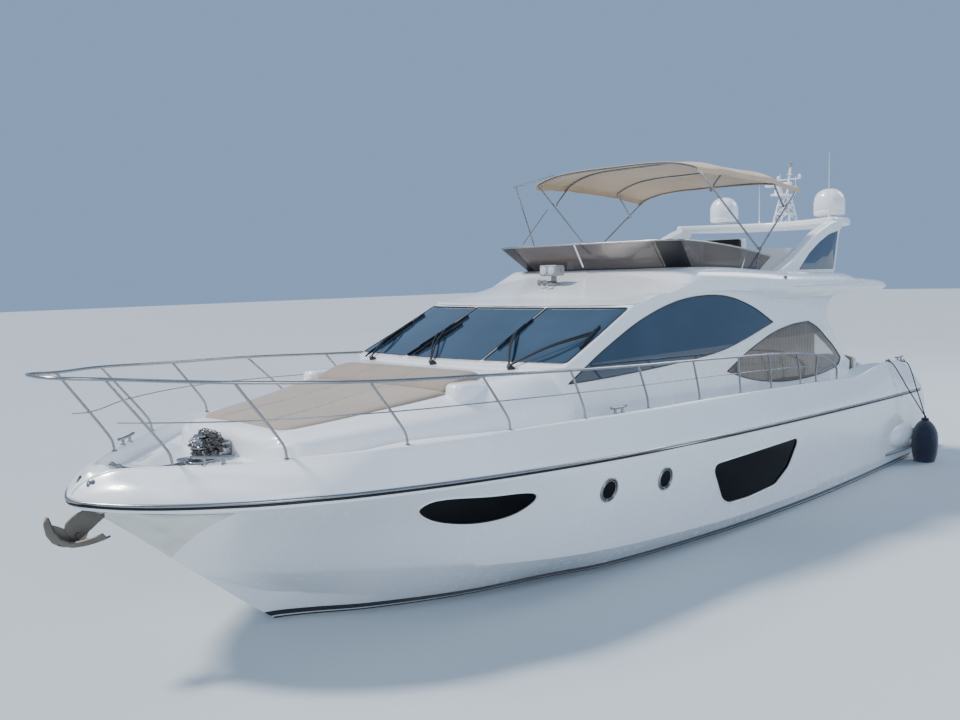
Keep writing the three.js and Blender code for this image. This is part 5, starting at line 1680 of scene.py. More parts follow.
def canopy_row(u, vs):
    """A line over the canopy, with the valance that hangs at either side."""
    row = [canopy_spot(u, v) for v in vs]
    drops = [0.35, 0.7, 1.0]
    fall = VALANCE * (1 + 0.06 * math.sin(u * 40))
    left = [row[0] + (0, -0.004 - 0.012 * d, -fall * d) for d in reversed(drops)]
    right = [row[-1] + (0, 0.004 + 0.012 * d, -fall * d) for d in drops]
    return [*left, *row, *right]


def make_canopy():
    us = np.linspace(0, 1, 73)
    vs = np.linspace(0, 1, 67)
    prop = Form()
    head = np.array((0.262, -1.62, 5.55))
    foot = above("fly", -0.6, -1.78)
    prop.tube([foot, head], sizes().hoop_radius * 0.8, 10)
    prop.lathe([(0, -0.02), (0.02, -0.02), (0.024, 0), (0.02, 0.02), (0, 0.02)], head, segments=16)
    prop.tube([(-0.004, -1.71, 4.576), (-0.64, -1.672, 5.2)], sizes().hoop_radius * 0.55, 8)
    prop.make("awning_prop", "stainless", angle=60)
    strap = Form().tube([head + (-0.03, 0.01, 0.01), (-0.3, -1.2, 5.75)], 0.013, 8)
    strap.make("awning_strap", "stainless", "front_bow", 60)
    form = plate(Form(), [canopy_row(u, vs) for u in us], CLOTH_THICK)
    cloth = form.make("canopy_sheet", "canopy_cloth", angle=60, replaces=["canopy_fabric"])
    hem = Form()
    for u in (0.0, 1.0):
        hem.tube(np.array(canopy_row(u, vs)) + (0, 0, -0.003), 0.006, 8)
    for k in (0, -1):
        hem.tube([canopy_row(u, vs)[k] for u in us], 0.006, 8)
    hems = hem.make("canopy_hems", "canopy_cloth", angle=60)
    seams = []
    for at in (0.022, 0.978):
        seams.append([canopy_spot(at, v) + STITCH_LIFT for v in vs[1:-1]])
    for k in (1, -2):
        seams.append([canopy_spot(u, vs[k]) + STITCH_LIFT for u in us])
    stitches = along("canopy_stitches", seams, "canopy_cloth", 0.02, 0.011, 0.0015, 0.0011)
    across = arc_length(canopy_row(0.5, vs)) + CLOTH_GIVE
    lengthwise = arc_length([canopy_spot(u, 0.5) for u in us]) + CLOTH_GIVE
    for piece in (cloth, hems, stitches):
        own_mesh(piece)


def arc_length(line):
    return float(np.linalg.norm(np.diff(np.array(line), axis=0), axis=1).sum())


# Rails

STANCHIONS = [
    ((8.016, 0.673), (8.62, 0.6, 3.12)), ((7.184, 1.496), (7.76, 1.5, 3.06)),
    ((6.095, 2.09), (6.567, 2.073, 2.989)), ((4.7, 0), (5.26, 2.38, 2.945)),
    ((3.42, 0), (3.83, 2.45, 2.88)), ((2.1, 0), (2.48, 2.47, 2.825)), ((0.8, 0), (1.15, 2.46, 2.78)),
    ((-0.4, 0), (-0.13, 2.44, 2.73)), ((-1.4, 0), (-1.12, 2.42, 2.69)), ((-2.45, 0), (-2.11, 2.4, 2.63)),
    ((-3.05, 0), (-2.93, 2.38, 2.54)),
]
RAIL_TIP = (9.08, 0, 3.16)
RAIL_END_X = -3.9


def rail_foot(x, y=0.0):
    edge = min(y or 9.0, crest_y(x) - 0.042)
    return np.array((x, edge, crest_z(x) - 0.006))


def make_rails():
    tops = [top for _, top in STANCHIONS]
    end = rail_foot(RAIL_END_X)
    port = [(8.99, 0.33, 3.15), *tops, (-3.5, 2.35, 2.4), (end[0], end[1], 2.2), tuple(end)]
    starboard = mirror(port)[::-1]
    steel = Form().tube(spline([*starboard, RAIL_TIP, *port], 7), sizes().rail_radius, 12)
    mids = []
    base = [(0, -0.004), (0.034, -0.004), (0.034, 0.004), (0.02, 0.01), (0, 0.01)]
    for foot, top in STANCHIONS:
        low = rail_foot(*foot)
        knee = low + np.array((0.02, 0, 0.13))
        line = spline([low, knee - [0.004, 0, 0.03], knee + (np.array(top) - knee) * 0.06, top], 5)
        for side in (1, -1):
            bar = line * [1, side, 1]
            steel.tube(bar, sizes().post_radius, 10)
            steel.lathe(base, bar[0], UP, 16)
        mids.append(knee + (np.array(top) - knee) * 0.42)
    nose = mids[0] + np.array((0.22, -0.1, 0.02))
    for side in (1, -1):
        steel.tube(spline([m * [1, side, 1] for m in (nose, *mids)], 4), sizes().wire_radius, 8)
    steel.make("guard_rail", "stainless", angle=60, replaces=["bow_rail_port", "bow_rail_starboard"])


# Sunpad

# Columns: place along the boat, half breadth, height of the upper side
SUNPAD = [(6.83, 0.8, 2.425), (6.74, 0.92, 2.44), (5.9, 1.12, 2.53), (4.92, 1.36, 2.665), (4.86, 1.36, 2.67)]
BACKREST = [
    (4.83, 1.28, 2.69), (4.72, 1.3, 2.745), (4.5, 1.31, 2.815), (4.3, 1.3, 2.84), (4.16, 1.28, 2.82),
]


def fall(distance, soft):
    """0 at a cushion's edge, and 1 where it is full."""
    return 1 - math.exp(-distance / soft)


def dent(distance, wide):
    """1 in a sewn channel, and 0 away from it."""
    return math.exp(-((distance / wide) ** 2))


def pad_channel(x):
    return 0.36 + 0.05 * (x - 5)


def make_sunpad():
    half_at, top_at = columns(SUNPAD, 2)
    across = np.linspace(-1, 1, 81)
    rows = []
    for x in [4.862, 4.868, 4.88, 4.9, *np.linspace(4.93, 6.7, 60), 6.74, 6.78, 6.81, 6.828]:
        half = half_at(x)
        ends = fall(min(x - 4.86, 6.832 - x), 0.03)
        row = []
        for s in across:
            seam = dent(abs(half * s) - pad_channel(x), 0.018)
            puff = 0.034 * ends * fall((1 - abs(s)) * half, 0.03) * (1 - seam * 0.8)
            row.append((x, half * s, top_at(x) - 0.03 + 0.022 * (1 - s * s) + puff))
        rows.append(row)
    under = [[(x, y, z - 0.13) for x, y, z in row] for row in rows]
    form = Form().between(rows, under)
    pad = form.make("sunpad_cushion", "cushion_beige", angle=70, replaces=["sunpad"])
    rest_half, rest_top = columns(BACKREST, 2)
    rows = []
    for x in np.linspace(4.16, 4.83, 34):
        ends = fall(min(x - 4.155, 4.835 - x), 0.03)
        row = []
        for s in across:
            y = rest_half(x) * s
            puff = 0.05 * ends * fall((1 - abs(s)) * 1.3, 0.04) * (1 - 0.5 * dent(abs(y) - 0.44, 0.016))
            row.append((x, y, rest_top(x) - 0.04 + puff))
        rows.append(row)
    under = [[(x, y, min(z - 0.04, 2.66)) for x, y, z in row] for row in rows]
    form = Form().between(rows, under)
    back = form.make("backrest_cushion", "cushion_taupe", angle=70, replaces=["sunpad_backrest"])
    pods = Form()
    for side in (1, -1):
        y0, y1 = sorted((side * 1.315, side * 1.62))
        pods.slab(rounded_box(4.36, y0, 4.88, y1, 0.12, 6), 2.5, 2.755, 0.07, steps=6)
    pods.make("backrest_pods", "gelcoat", angle=50)
    seam = [(x, pad_channel(x), top_at(x) + 0.001) for x in np.linspace(4.95, 6.72, 60)]
    seams = [seam, mirror(seam)]
    along("sunpad_stitches", seams, "cushion_taupe", 0.022, 0.012, 0.0018, 0.0013)


# Links, stitches and other small things along a path, by Geometry Nodes


def path_tree():
    """Rings set end to end along the object's edges, each turned by a step from the one before."""
    tree = bpy.data.node_groups.new("links_along_path", "GeometryNodeTree")
    face = tree.interface
    face.new_socket("Geometry", in_out="INPUT", socket_type="NodeSocketGeometry")
    for name in ("Pitch", "Length", "Width", "Wire", "Turn"):
        face.new_socket(name, in_out="INPUT", socket_type="NodeSocketFloat")
    face.new_socket("Material", in_out="INPUT", socket_type="NodeSocketMaterial")
    face.new_socket("Geometry", in_out="OUTPUT", socket_type="NodeSocketGeometry")

    def add(kind, settings=None, **links):
        node = tree.nodes.new(kind)
        for key, value in (settings or {}).items():
            setattr(node, key, value)
        for key, value in links.items():
            socket = node.inputs[key.replace("_", " ")]
            if isinstance(value, bpy.types.NodeSocket):
                tree.links.new(value, socket)
            else:
                socket.default_value = value
        return node.outputs

    given = add("NodeGroupInput")
    line = add("GeometryNodeMeshToCurve", Mesh=given["Geometry"])["Curve"]
    even = add("GeometryNodeResampleCurve", {"mode": "LENGTH"}, Curve=line, Length=given["Pitch"])
    ahead = add("GeometryNodeInputTangent")["Tangent"]
    laid = add("FunctionNodeAlignRotationToVector", {"axis": "X"}, Vector=ahead)["Rotation"]
    number = add("GeometryNodeInputIndex")["Index"]
    angle = add("ShaderNodeMath", {"operation": "MULTIPLY"})
    tree.links.new(number, angle["Value"].node.inputs[0])
    tree.links.new(given["Turn"], angle["Value"].node.inputs[1])
    roll = add("FunctionNodeAxisAngleToRotation", Axis=(1, 0, 0), Angle=angle["Value"])["Rotation"]
    turned = add("FunctionNodeRotateRotation", {"rotation_space": "LOCAL"}, Rotation=laid, Rotate_By=roll)
    turned = turned["Rotation"]
    loop = add("GeometryNodeCurvePrimitiveCircle", Resolution=12, Radius=0.5)["Curve"]
    scale = add("ShaderNodeCombineXYZ", X=given["Length"], Y=given["Width"], Z=1.0)["Vector"]
    shaped = add("GeometryNodeTransform", Geometry=loop, Scale=scale)["Geometry"]
    section = add("GeometryNodeCurvePrimitiveCircle", Resolution=6, Radius=given["Wire"])["Curve"]
    link = add("GeometryNodeCurveToMesh", Curve=shaped, Profile_Curve=section)["Mesh"]
    placed_links = add(
        "GeometryNodeInstanceOnPoints", Points=even["Curve"], Instance=link, Rotation=turned
    )["Instances"]
    real = add("GeometryNodeRealizeInstances", Geometry=placed_links)["Geometry"]
    done = add("GeometryNodeSetMaterial", Geometry=real, Material=given["Material"])["Geometry"]
    add("NodeGroupOutput", Geometry=done)
    return tree


TREES = {}


def along(name, lines, finish, pitch, long, wide, wire, turn=0.0):
    """Links along some lines, as one piece."""
    if "path" not in TREES:
        TREES["path"] = path_tree()
    points, edges = [], []
    for line in lines:
        start = len(points)
        points.extend([tuple(map(float, p)) for p in line])
        edges.extend([(start + k, start + k + 1) for k in range(len(line) - 1)])
    mesh = bpy.data.meshes.new(name)
    mesh.from_pydata(points, edges, [])
    obj = linked(name, mesh)
    step = obj.modifiers.new("links", "NODES")
    step.node_group = TREES["path"]
    values = {"Pitch": pitch, "Length": long, "Width": wide, "Wire": wire, "Turn": turn}
    values["Material"] = material(finish)
    for item in TREES["path"].interface.items_tree:
        if item.name in values:
            step[item.identifier] = values[item.name]
    return dress(settled(obj), name, finish, angle=60)


def plate(form, rows, thick):
    """A bent plate through rows of points, made solid along its normals."""
    grid = np.array(rows, float)
    ahead = np.gradient(grid, axis=0)
    over = np.gradient(grid, axis=1)
    out = np.cross(ahead, over)
    out /= np.maximum(np.linalg.norm(out, axis=2), 1e-9)[:, :, None]
    top = grid + out * thick / 2
    low = grid - out * thick / 2
    return form.between(top, low)


# Wipers and searchlight

GLASS_OUT = np.array((0.6, 0.0, 0.8))
WIPER_BASES = [(3.66, -1.5, 2.82), (3.77, -0.05, 2.84), (3.68, 1.335, 2.83)]
WIPER_BLADES = [
    ((3.58, -1.73, 2.85), (2.32, -1.79, 3.415)), ((3.618, -0.739, 2.9), (2.509, -0.592, 3.413)),
    ((3.6, -0.6, 2.92), (2.74, -0.49, 3.31)), ((3.32, 0.79, 3.02), (2.56, 0.745, 3.39)),
    ((3.055, 1.977, 3.061), (2.52, 1.894, 3.312)),
]
WIPER_ARMS = [
    (0, (2.98, -1.762, 3.12)), (0, (2.86, -1.75, 3.17)), (1, (3.06, -0.668, 3.157)), (1, (2.96, -0.62, 3.2)),
    (2, (2.916, 0.775, 3.215)), (2, (2.99, 0.79, 3.18)), (2, (2.731, 1.922, 3.212)), (2, (2.8, 1.93, 3.18)),
]


def on_screen(point, lift):
    start = np.array(point, float) + GLASS_OUT * 0.6
    return cast(SKINS["saloon"], start, -GLASS_OUT, lift)


def make_wipers():
    black = Form()
    for low, high in WIPER_BLADES:
        row = np.linspace(low, high, 15)
        black.tube([on_screen(p, 0.01) for p in row], 0.0085, 6)
        black.tube([on_screen(p, 0.026) for p in row], 0.011, 8)
        for at in (3, 7, 11):
            black.tube([on_screen(row[at], 0.014), on_screen(row[at], 0.042)], 0.012, 8)
        black.tube([on_screen(p, 0.042) for p in row[3:12]], 0.007, 6)
    for base, tip in WIPER_ARMS:
        foot = np.array(WIPER_BASES[base]) + GLASS_OUT * 0.05
        middle = (foot + np.array(tip)) / 2 + GLASS_OUT * 0.07
        black.tube(spline([foot, middle, on_screen(tip, 0.05)], 6), 0.012, 8)
    spindle = [(0, 0), (0.055, 0), (0.058, 0.02), (0.04, 0.045), (0.03, 0.09), (0, 0.095)]
    for x, y, z in WIPER_BASES:
        foot = np.array((x, y, z)) - GLASS_OUT * 0.03
        black.lathe(spindle, foot, GLASS_OUT, 20)
    black.make("wipers", "rubber", angle=50)


LAMP_FOOT = [
    (0, -0.01), (0.1, -0.01), (0.104, 0.018), (0.07, 0.034), (0.045, 0.05), (0.042, 0.15), (0, 0.154),
]
HORN = [(0.012, 0, 0), (0.012, 0.5, 0), (0.02, 0.75, 0), (0.048, 1, 0), (0.05, 1, 0.004), (0, 1, 0)]


def make_searchlight():
    base = above("fly", 1.2, 0)
    form = Form().lathe(LAMP_FOOT, base)
    head = base[2] + 0.14
    form.block((1.1, -0.16, head), (1.31, 0.16, head + 0.16), 0.03)
    form.block((1.29, -0.165, head - 0.006), (1.35, 0.165, head + 0.166), 0.014)
    for side in (1, -1):
        pivot = (1.2, side * 0.155, head + 0.08)
        form.lathe([(0, 0), (0.03, 0), (0.03, 0.02), (0, 0.02)], pivot, (0, side, 0), 16)
    form.make("searchlight_body", "lamp_grey", angle=40, replaces=["searchlight"])
    lens = Form()
    face = [(0, 0), (0.062, 0), (0.064, 0.012), (0.05, 0.018), (0, 0.022)]
    for side in (1, -1):
        lens.lathe(face, (1.348, side * 0.078, head + 0.08), (1, 0, 0), 24)
    lens.make("searchlight_lenses", "lens", angle=50)
    horn = Form()
    for side, far in ((0.05, 0.3), (-0.05, 0.24)):
        bell = [(radius, far * share + extra) for radius, share, extra in HORN]
        horn.lathe(bell, (1.22, side, base[2] + 0.05), (0.94, side * 2, -0.05), 18)
    horn.make("horns", "stainless", angle=40)


# Foredeck fittings

WINDLASS_X = 7.2
CHAIN_END = 8.3
CHAIN_Y = 0.1
HEAP_TURNS = 190
GYPSY_X = 7.32
GYPSY = [
    (0, 0), (0.125, 0), (0.128, 0.03), (0.1, 0.045), (0.082, 0.075), (0.1, 0.105), (0.115, 0.115),
    (0.115, 0.13), (0.07, 0.14), (0.055, 0.18), (0.06, 0.22), (0.088, 0.245), (0.088, 0.258), (0.04, 0.27),
    (0, 0.272),
]
HANDLE = [(-0.1, -0.01), (-0.06, 0.03), (0.06, 0.03), (0.1, -0.01)]
CLEAT_BAR = [(-1, 0.008), (-0.5, 0), (0, 0), (0.5, 0), (1, 0.008)]
CLEATS = [(7.73, 0.22), (-7.02, 0.2), (2.75, 0.16)]


def make_windlass():
    floor = above("deck", WINDLASS_X + 0.1, 0)[2]
    steel = Form()
    steel.slab(rounded_box(6.98, -0.2, 7.56, 0.2, 0.07), floor - 0.01, floor + 0.026, 0.012)
    steel.block((7.0, -0.14, floor + 0.02), (7.2, 0.14, floor + 0.2), 0.035)
    steel.lathe(GYPSY, (GYPSY_X, 0, floor + 0.02), segments=32)
    for (x0, y0), (x1, y1) in zip(round_line(0.084, 8), round_line(0.118, 8)):
        rib = [(GYPSY_X + x0, y0, floor + 0.07), (GYPSY_X + x1, y1, floor + 0.12)]
        steel.tube(rib, 0.012, 6)
    steel.make("windlass_body", "stainless", angle=40, replaces=["windlass"])
    guides = Form()
    for side in (1, -1):
        line = []
        for x in np.linspace(CHAIN_END, 7.5, 12):
            line.append(above("deck", x, CHAIN_Y + side * (0.075 + 0.03 * (CHAIN_END - x)), 0.012))
        guides.tube(line, 0.017, 8)
        for at in (2, 6, 10):
            guides.tube([line[at], line[at] - [0, 0, 0.03]], 0.014, 8)
    roller = above("deck", CHAIN_END + 0.06, CHAIN_Y, 0.02)
    guides.lathe([(0, -0.09), (0.035, -0.09), (0.022, 0), (0.035, 0.09), (0, 0.09)], roller, (0, 1, 0), 18)
    guides.make("chain_guides", "stainless", angle=50)


def make_chain():
    """The anchor chain lies in its channel and in a heap on the windlass."""
    link = sizes().chain_link
    run = []
    for x in np.linspace(CHAIN_END + 0.04, 7.6, 18):
        run.append(above("deck", x, CHAIN_Y + 0.012 * math.sin(x * 19), 0.02))
    climb = [(7.5, 0.09, run[-1][2] + 0.06), (7.42, 0.08, run[-1][2] + 0.1)]
    heap = []
    floor = run[-1][2] + 0.02
    for k in range(HEAP_TURNS):
        a = k * 0.37
        high = k / HEAP_TURNS
        wide = 0.21 * (1 - 0.5 * high)
        x = WINDLASS_X + 0.04 + wide * 0.95 * math.sin(1.9 * a) * math.cos(0.31 * a)
        y = wide * math.cos(1.3 * a + 0.6)
        heap.append((x, y, floor + 0.05 + 0.23 * high + 0.02 * math.sin(3.1 * a)))
    lines = [spline([*run, *climb], 3), spline(heap, 4)]
    sizes_of_link = (link * 0.72, link, link * 0.62, link * 0.115)
    along("anchor_chain", lines, "chain_steel", *sizes_of_link, math.pi / 2)


def cleat(form, x, half_long):
    ahead = np.array((0.4, crest_y(x + 0.2) - crest_y(x - 0.2), 0))
    ahead /= np.linalg.norm(ahead)
    for side in (1, -1):
        middle = np.array((x, (crest_y(x) - 0.045) * side, crest_z(x) + 0.069))
        way = ahead * (1, side, 1) * half_long
        bar = [middle + way * share + [0, 0, up] for share, up in CLEAT_BAR]
        form.tube(spline(bar, 4), 0.017, 10)
        for share in (-0.45, 0.45):
            foot = middle + way * share
            form.tube([foot, foot - [0, 0, 0.085]], 0.017, 10)
            form.lathe([(0, 0), (0.034, 0), (0.03, 0.012), (0, 0.014)], foot - [0, 0, 0.078], UP, 14)


def make_deck_fittings():
    steel = Form()
    for x, half_long in CLEATS:
        cleat(steel, x, half_long)
    for side in (1, -1):
        for x in (-7.18, -6.35):
            spot = np.array((x, side * (crest_y(x) - 0.03), crest_z(x)))
            steel.tube(spline([spot + [dx, 0, dz] for dx, dz in HANDLE], 4), 0.015, 8)
        hit = cast(SKINS["deck"], (9.72, side * 2.83, 2.606), (-0.383, side * -0.943, -0.2))
        fairlead = [(0, -0.004), (0.05, -0.004), (0.047, 0.01), (0.032, 0.014), (0.024, 0.006), (0, 0.006)]
        steel.lathe(fairlead, hit, (0.7, side * 0.45, 0.4), 20)
    steel.make("deck_cleats", "stainless", angle=50)
    grip = Form()
    for side in (1, -1):
        starts = [(x, side * 6, 3.74) for x in np.linspace(-2.6, -6.2, 20)]
        grip.tube([cast(SKINS["fly"], start, (0, -side, 0), 0.012) for start in starts], 0.011, 8)
    grip.make("eave_trim", "gelcoat", angle=50)


# Columns: place, height, half width
ANCHOR_TOE = [
    (8.7, 1.425, 0.1), (8.8, 1.412, 0.125), (8.9, 1.43, 0.13), (8.98, 1.48, 0.12), (9.03, 1.56, 0.1),
    (9.05, 1.66, 0.06), (9.052, 1.7, 0.02),
]


def make_anchor():
    """A claw anchor: a deep curved shank and three turned-up palms."""
    upper = spline([(8.36, 1.8), (8.648, 1.752), (8.781, 1.704), (8.85, 1.64), (8.86, 1.56)], 5)
    lower = spline([(8.3, 1.7), (8.459, 1.64), (8.6, 1.545), (8.684, 1.49), (8.76, 1.45)], 5)
    rings = []
    for (ax, az), (bx, bz) in zip(upper, lower):
        rings.append([(ax, 0.016, az), (ax, -0.016, az), (bx, -0.022, bz), (bx, 0.022, bz)])
    form = Form().skin(rings)
    toe = []
    for x, z, half in ANCHOR_TOE:
        toe.append([(x - 0.03 * s * s, half * s, z + 0.05 * s * s) for s in np.linspace(-1, 1, 9)])
    plate(form, toe, 0.022)
    fin = bent_loop([(8.7, 1.43), (8.8, 1.405), (9.0, 1.49), (9.05, 1.69), (8.93, 1.64), (8.8, 1.56)], 0.03)
    form.slab(fin, -0.012, 0.012, 0.005, axis=1)
    for side in (1, -1):
        palm = []
        for t in np.linspace(0, 1, 8):
            x = 8.82 - 0.27 * t**0.9
            wide = 0.14 * (1 - 0.72 * t)
            y = side * (0.05 + 0.205 * t)
            z = 1.412 + 0.075 * t * t
            palm.append([(x + wide * s, y, z + 0.03 * abs(s) + 0.02 * s) for s in np.linspace(-1, 1, 7)])
        plate(form, palm, 0.02)
    pin = [(0, -0.045), (0.03, -0.045), (0.034, -0.03), (0.034, 0.03), (0.03, 0.045), (0, 0.045)]
    form.lathe(pin, (8.74, 0, 1.51), (0, 1, 0), 18)
    form.make("claw_anchor", "anchor_steel", angle=35, replaces=["anchor"])
    guard = []
    for x in np.linspace(7.75, 8.5, 16):
        line = [(x, z) for z in np.linspace(keel_z(x) + 0.004, rub_z(x) - 0.1, 14)]
        row = on_side(SKINS["hull"], line, 0.004, 2.5)
        guard.append([*row[::-1], *mirror(row)])
    plate(Form(), guard, 0.004).make("stem_plate", "mirror_steel", angle=50)


# Mast, aerials and flybridge fittings

MAST_X = -6.5
SCANNER_X = -6.18


def make_mast():
    foot = ARCH_TOP + SEAT_GAP
    form = Form().slab(rounded_box(-6.72, -0.22, -6.28, 0.22, 0.04), foot, foot + 0.016, 0.006)
    levels = [foot + 0.01, 5.2, 5.38, 5.56]
    for i in (1, -1):
        for j in (1, -1):
            form.tube([(MAST_X + i * 0.19, j * 0.19, foot), (MAST_X + i * 0.075, j * 0.075, 5.6)], 0.017, 8)
    for z, half in ((5.2, 0.155), (5.38, 0.115)):
        corners = [(MAST_X + half * i, half * j, z) for i, j in ((-1, -1), (1, -1), (1, 1), (-1, 1))]
        for a, b in zip(corners, [*corners[1:], corners[0]]):
            form.tube([a, b], 0.011, 6)
    for (za, zb), (ha, hb) in zip(zip(levels, levels[1:]), ((0.19, 0.155), (0.155, 0.115), (0.115, 0.08))):
        for j in (1, -1):
            form.tube([(MAST_X - ha, j * ha, za), (MAST_X + hb, j * hb, zb)], 0.008, 6)
            form.tube([(j * ha + MAST_X, -ha, za), (j * hb + MAST_X, hb, zb)], 0.008, 6)
    form.slab(rounded_box(-6.63, -0.15, -6.09, 0.15, 0.04), 5.56, 5.6, 0.01)
    bearing = [(0, 0), (0.085, 0), (0.09, 0.02), (0.085, 0.075), (0.05, 0.092), (0, 0.0925)]
    form.lathe(bearing, (SCANNER_X, 0, 5.6), segments=24)
    form.tube([(-6.56, 0, 5.58), (-6.72, 0, 6.2)], 0.024, 10)
    form.tube([(-6.65, -0.26, 5.93), (-6.65, 0.26, 5.93)], 0.014, 8)
    form.tube([(-6.607, -0.2, 5.76), (-6.607, 0.2, 5.76)], 0.011, 8)
    side_light = [(0, 0), (0.03, 0), (0.034, 0.03), (0.034, 0.07), (0.02, 0.09), (0, 0.094)]
    for y in (-0.24, 0.24):
        form.lathe(side_light, (-6.65, y, 5.93))
    for y, high in ((-0.18, 0.3), (0.17, 0.22)):
        form.tube([(-6.607, y, 5.76), (-6.607, y, 5.76 + high)], 0.006, 6)
    lamp_foot = [(0, 0), (0.06, 0), (0.065, 0.012), (0.05, 0.02), (0, 0.021)]
    form.lathe(lamp_foot, (-6.675, 0.0, 6.03), segments=20)
    form.make("mast_frame", "gelcoat", angle=45, replaces=["light_mast"])
    lantern = [
        (0, 0), (0.044, 0), (0.046, 0.015), (0.036, 0.02), (0.036, 0.075), (0.046, 0.08), (0.046, 0.095),
        (0.02, 0.105), (0, 0.106),
    ]
    Form().lathe(lantern, (-6.72, 0, 6.195)).make("mast_lamp", "lamp_grey", angle=45)
    bar = rounded_box(SCANNER_X - 0.055, -0.3, SCANNER_X + 0.055, 0.3, 0.05)
    blade = Form().slab(bar, 5.75, 5.83, 0.03, foot=0.02)
    hub = [(0, 0), (0.045, 0), (0.045, 0.05), (0.03, 0.06), (0, 0.06)]
    blade.lathe(hub, (SCANNER_X, 0, 5.7 + SEAT_GAP), segments=20)
    blade.make("scanner_blade", "gelcoat", "scanner", 40, replaces=["radar_scanner"])
    whips = Form()
    socket = [(0, 0), (0.024, 0), (0.022, 0.05), (0.012, 0.07), (0, 0.071)]
    for x, y, top in ((-5.72, 1.3, 6.3), (-6.3, -0.5, 5.9)):
        whips.lathe(socket, (x, y, ARCH_TOP - 0.003), segments=14)
        heights = (ARCH_TOP + 0.06, (ARCH_TOP + top) / 2, top)
        whips.tube([(x, y, z) for z in heights], [0.009, 0.006, 0.003], 8)
    whips.make("whip_aerials", "gelcoat", angle=60)


def make_fly_trim():
    steel = Form().tube([(0.46, 0, 4.13), (0.68, 0, 4.475)], 0.014, 10)
    for side in (1, -1):
        steel.tube([(-1.5, side * 1.725, 4.0), (-1.62, side * 1.76, 4.34)], 0.009, 8)
    steel.make("deflector_stays", "gelcoat", angle=60)
    # Painted shade: the helm seat's back under the canopy is a black block, not its taupe cushion.
    dark = Form().block((-2.78, 0.36, 4.18), (-2.56, 1.14, 4.575), 0.06)
    dark.make("helm_seat_cover", "rubber", slot="cushion_taupe", angle=60)
    vents = Form()
    for side in (1, -1):
        hub = cast(SKINS["fly"], (-2.35, side * 6, 3.87), (0, -side, 0))
        rim = [(0, -0.005), (0.045, -0.005), (0.045, 0.008), (0.03, 0.016), (0, 0.016)]
        vents.lathe(rim, hub, (0, side, 0), 20)
    vents.make("side_fittings", "stainless", angle=50)


# Stern fittings

ROPE_R = 0.011
FENDER_AT = (-7.48, 2.585, 0.4)
FENDER = [
    (0.001, -0.5), (0.09, -0.495), (0.165, -0.44), (0.225, -0.3), (0.25, -0.12), (0.252, 0.05), (0.236, 0.2),
    (0.185, 0.33), (0.115, 0.42), (0.07, 0.455), (0.058, 0.5), (0.001, 0.5),
]


def make_fender():
    form = Form().lathe(spline(FENDER, 3), FENDER_AT, segments=40)
    form.make("fender_cover", "fender_cloth", angle=60, replaces=["fender"])
    ropes = Form()
    x, y, z = FENDER_AT
    eye = np.array((x, y, z + 0.53))
    for at in (-7.25, -6.35):
        over = np.array((at, crest_y(at) - 0.03, crest_z(at) + 0.012))
        edge = np.array((at - 0.01, crest_y(at) + 0.042, crest_z(at) - 0.03))
        inner = np.array((at, crest_y(at) - 0.075, crest_z(at) + 0.004))
        sag = (edge + eye) / 2 + np.array((0, 0.02, -0.03))
        ropes.tube(spline([inner, over, edge, sag, eye], 7), ROPE_R, 8)
    ropes.tube([eye - [0, 0, 0.028], eye + [0, 0, 0.02]], 0.024, 10)
    for k in range(3):
        ring = [(x + a, y + b, z + 0.4605 + 0.014 * k) for a, b in round_line(0.064, 24)]
        ropes.tube(ring, 0.009, 6, closed=True)
    ropes.make("fender_ropes", "rope", angle=60, replaces=["fender_lines"])


def make_quarters():
    """A moulded bulge with a rubbing ledge under it at each quarter; the ledge is dark grey, painted shadow
    beneath the bulge.
    """
    rings = []
    for t in np.linspace(-1, 1, 21):
        swell = math.sqrt(max(1 - t * t, 0.0004))
        turn = np.linspace(0, 2 * math.pi, 29)[:-1]
        x = -6.95 + 0.72 * t
        y = stern_breadth(0.6) + 0.02
        rings.append([(x, y + 0.11 * swell * math.cos(a), 0.6 + 0.24 * swell * math.sin(a)) for a in turn])
    Form().skin(rings).mirrored().make("quarter_bulges", "gelcoat", angle=50)
    # Painted shadow: the ledge under each bulge is a dark grey tube, though it is moulded in gelcoat.
    xs = np.linspace(-7.75, -6.1, 12)
    line = [(x, 2.3 + 0.05 * math.sin((x + 7.75) / 1.65 * math.pi), 0.3) for x in xs]
    Form().tube(line, 0.035, 10).mirrored().make("quarter_ledges", "trim_grey", slot="gelcoat", angle=50)


def make_cockpit():
    base = Form().block((-7.15, -1.3, COCKPIT[0][2] + SEAT_GAP), (-6.52, 1.3, 1.72), 0.03)
    base.block((-7.15, -1.3, 1.7), (-6.98, 1.3, 2.14), 0.04)
    base.make("bench_base", "gelcoat", angle=40, replaces=["cockpit_bench"])
    for k, (y0, y1) in enumerate(((-1.29, -0.44), (-0.43, 0.43), (0.44, 1.29))):
        seat = soft_block((-6.97, y0, 1.72), (-6.5, y1, 1.84), 0.025)
        piece = seat.make(f"bench_seat_{k}", "cushion_beige", angle=80)
        rest = soft_block((-6.99, y0, 1.85), (-6.86, y1, 2.2), 0.02)
        piece = rest.make(f"bench_back_{k}", "cushion_beige", angle=80)
    deck = Form().slab(rounded_box(-9.34, -2.08, -8.102, 2.08, 0.22, 8), 0.33, 0.43, 0.02)
    deck.make("platform_board", "gelcoat", angle=40, replaces=["swim_platform"])
    teak = Form().slab(rounded_box(-9.26, -2.0, -8.18, 2.0, 0.16, 8), 0.42, 0.436, 0.004)
    teak.make("platform_teak", "teak", angle=40)


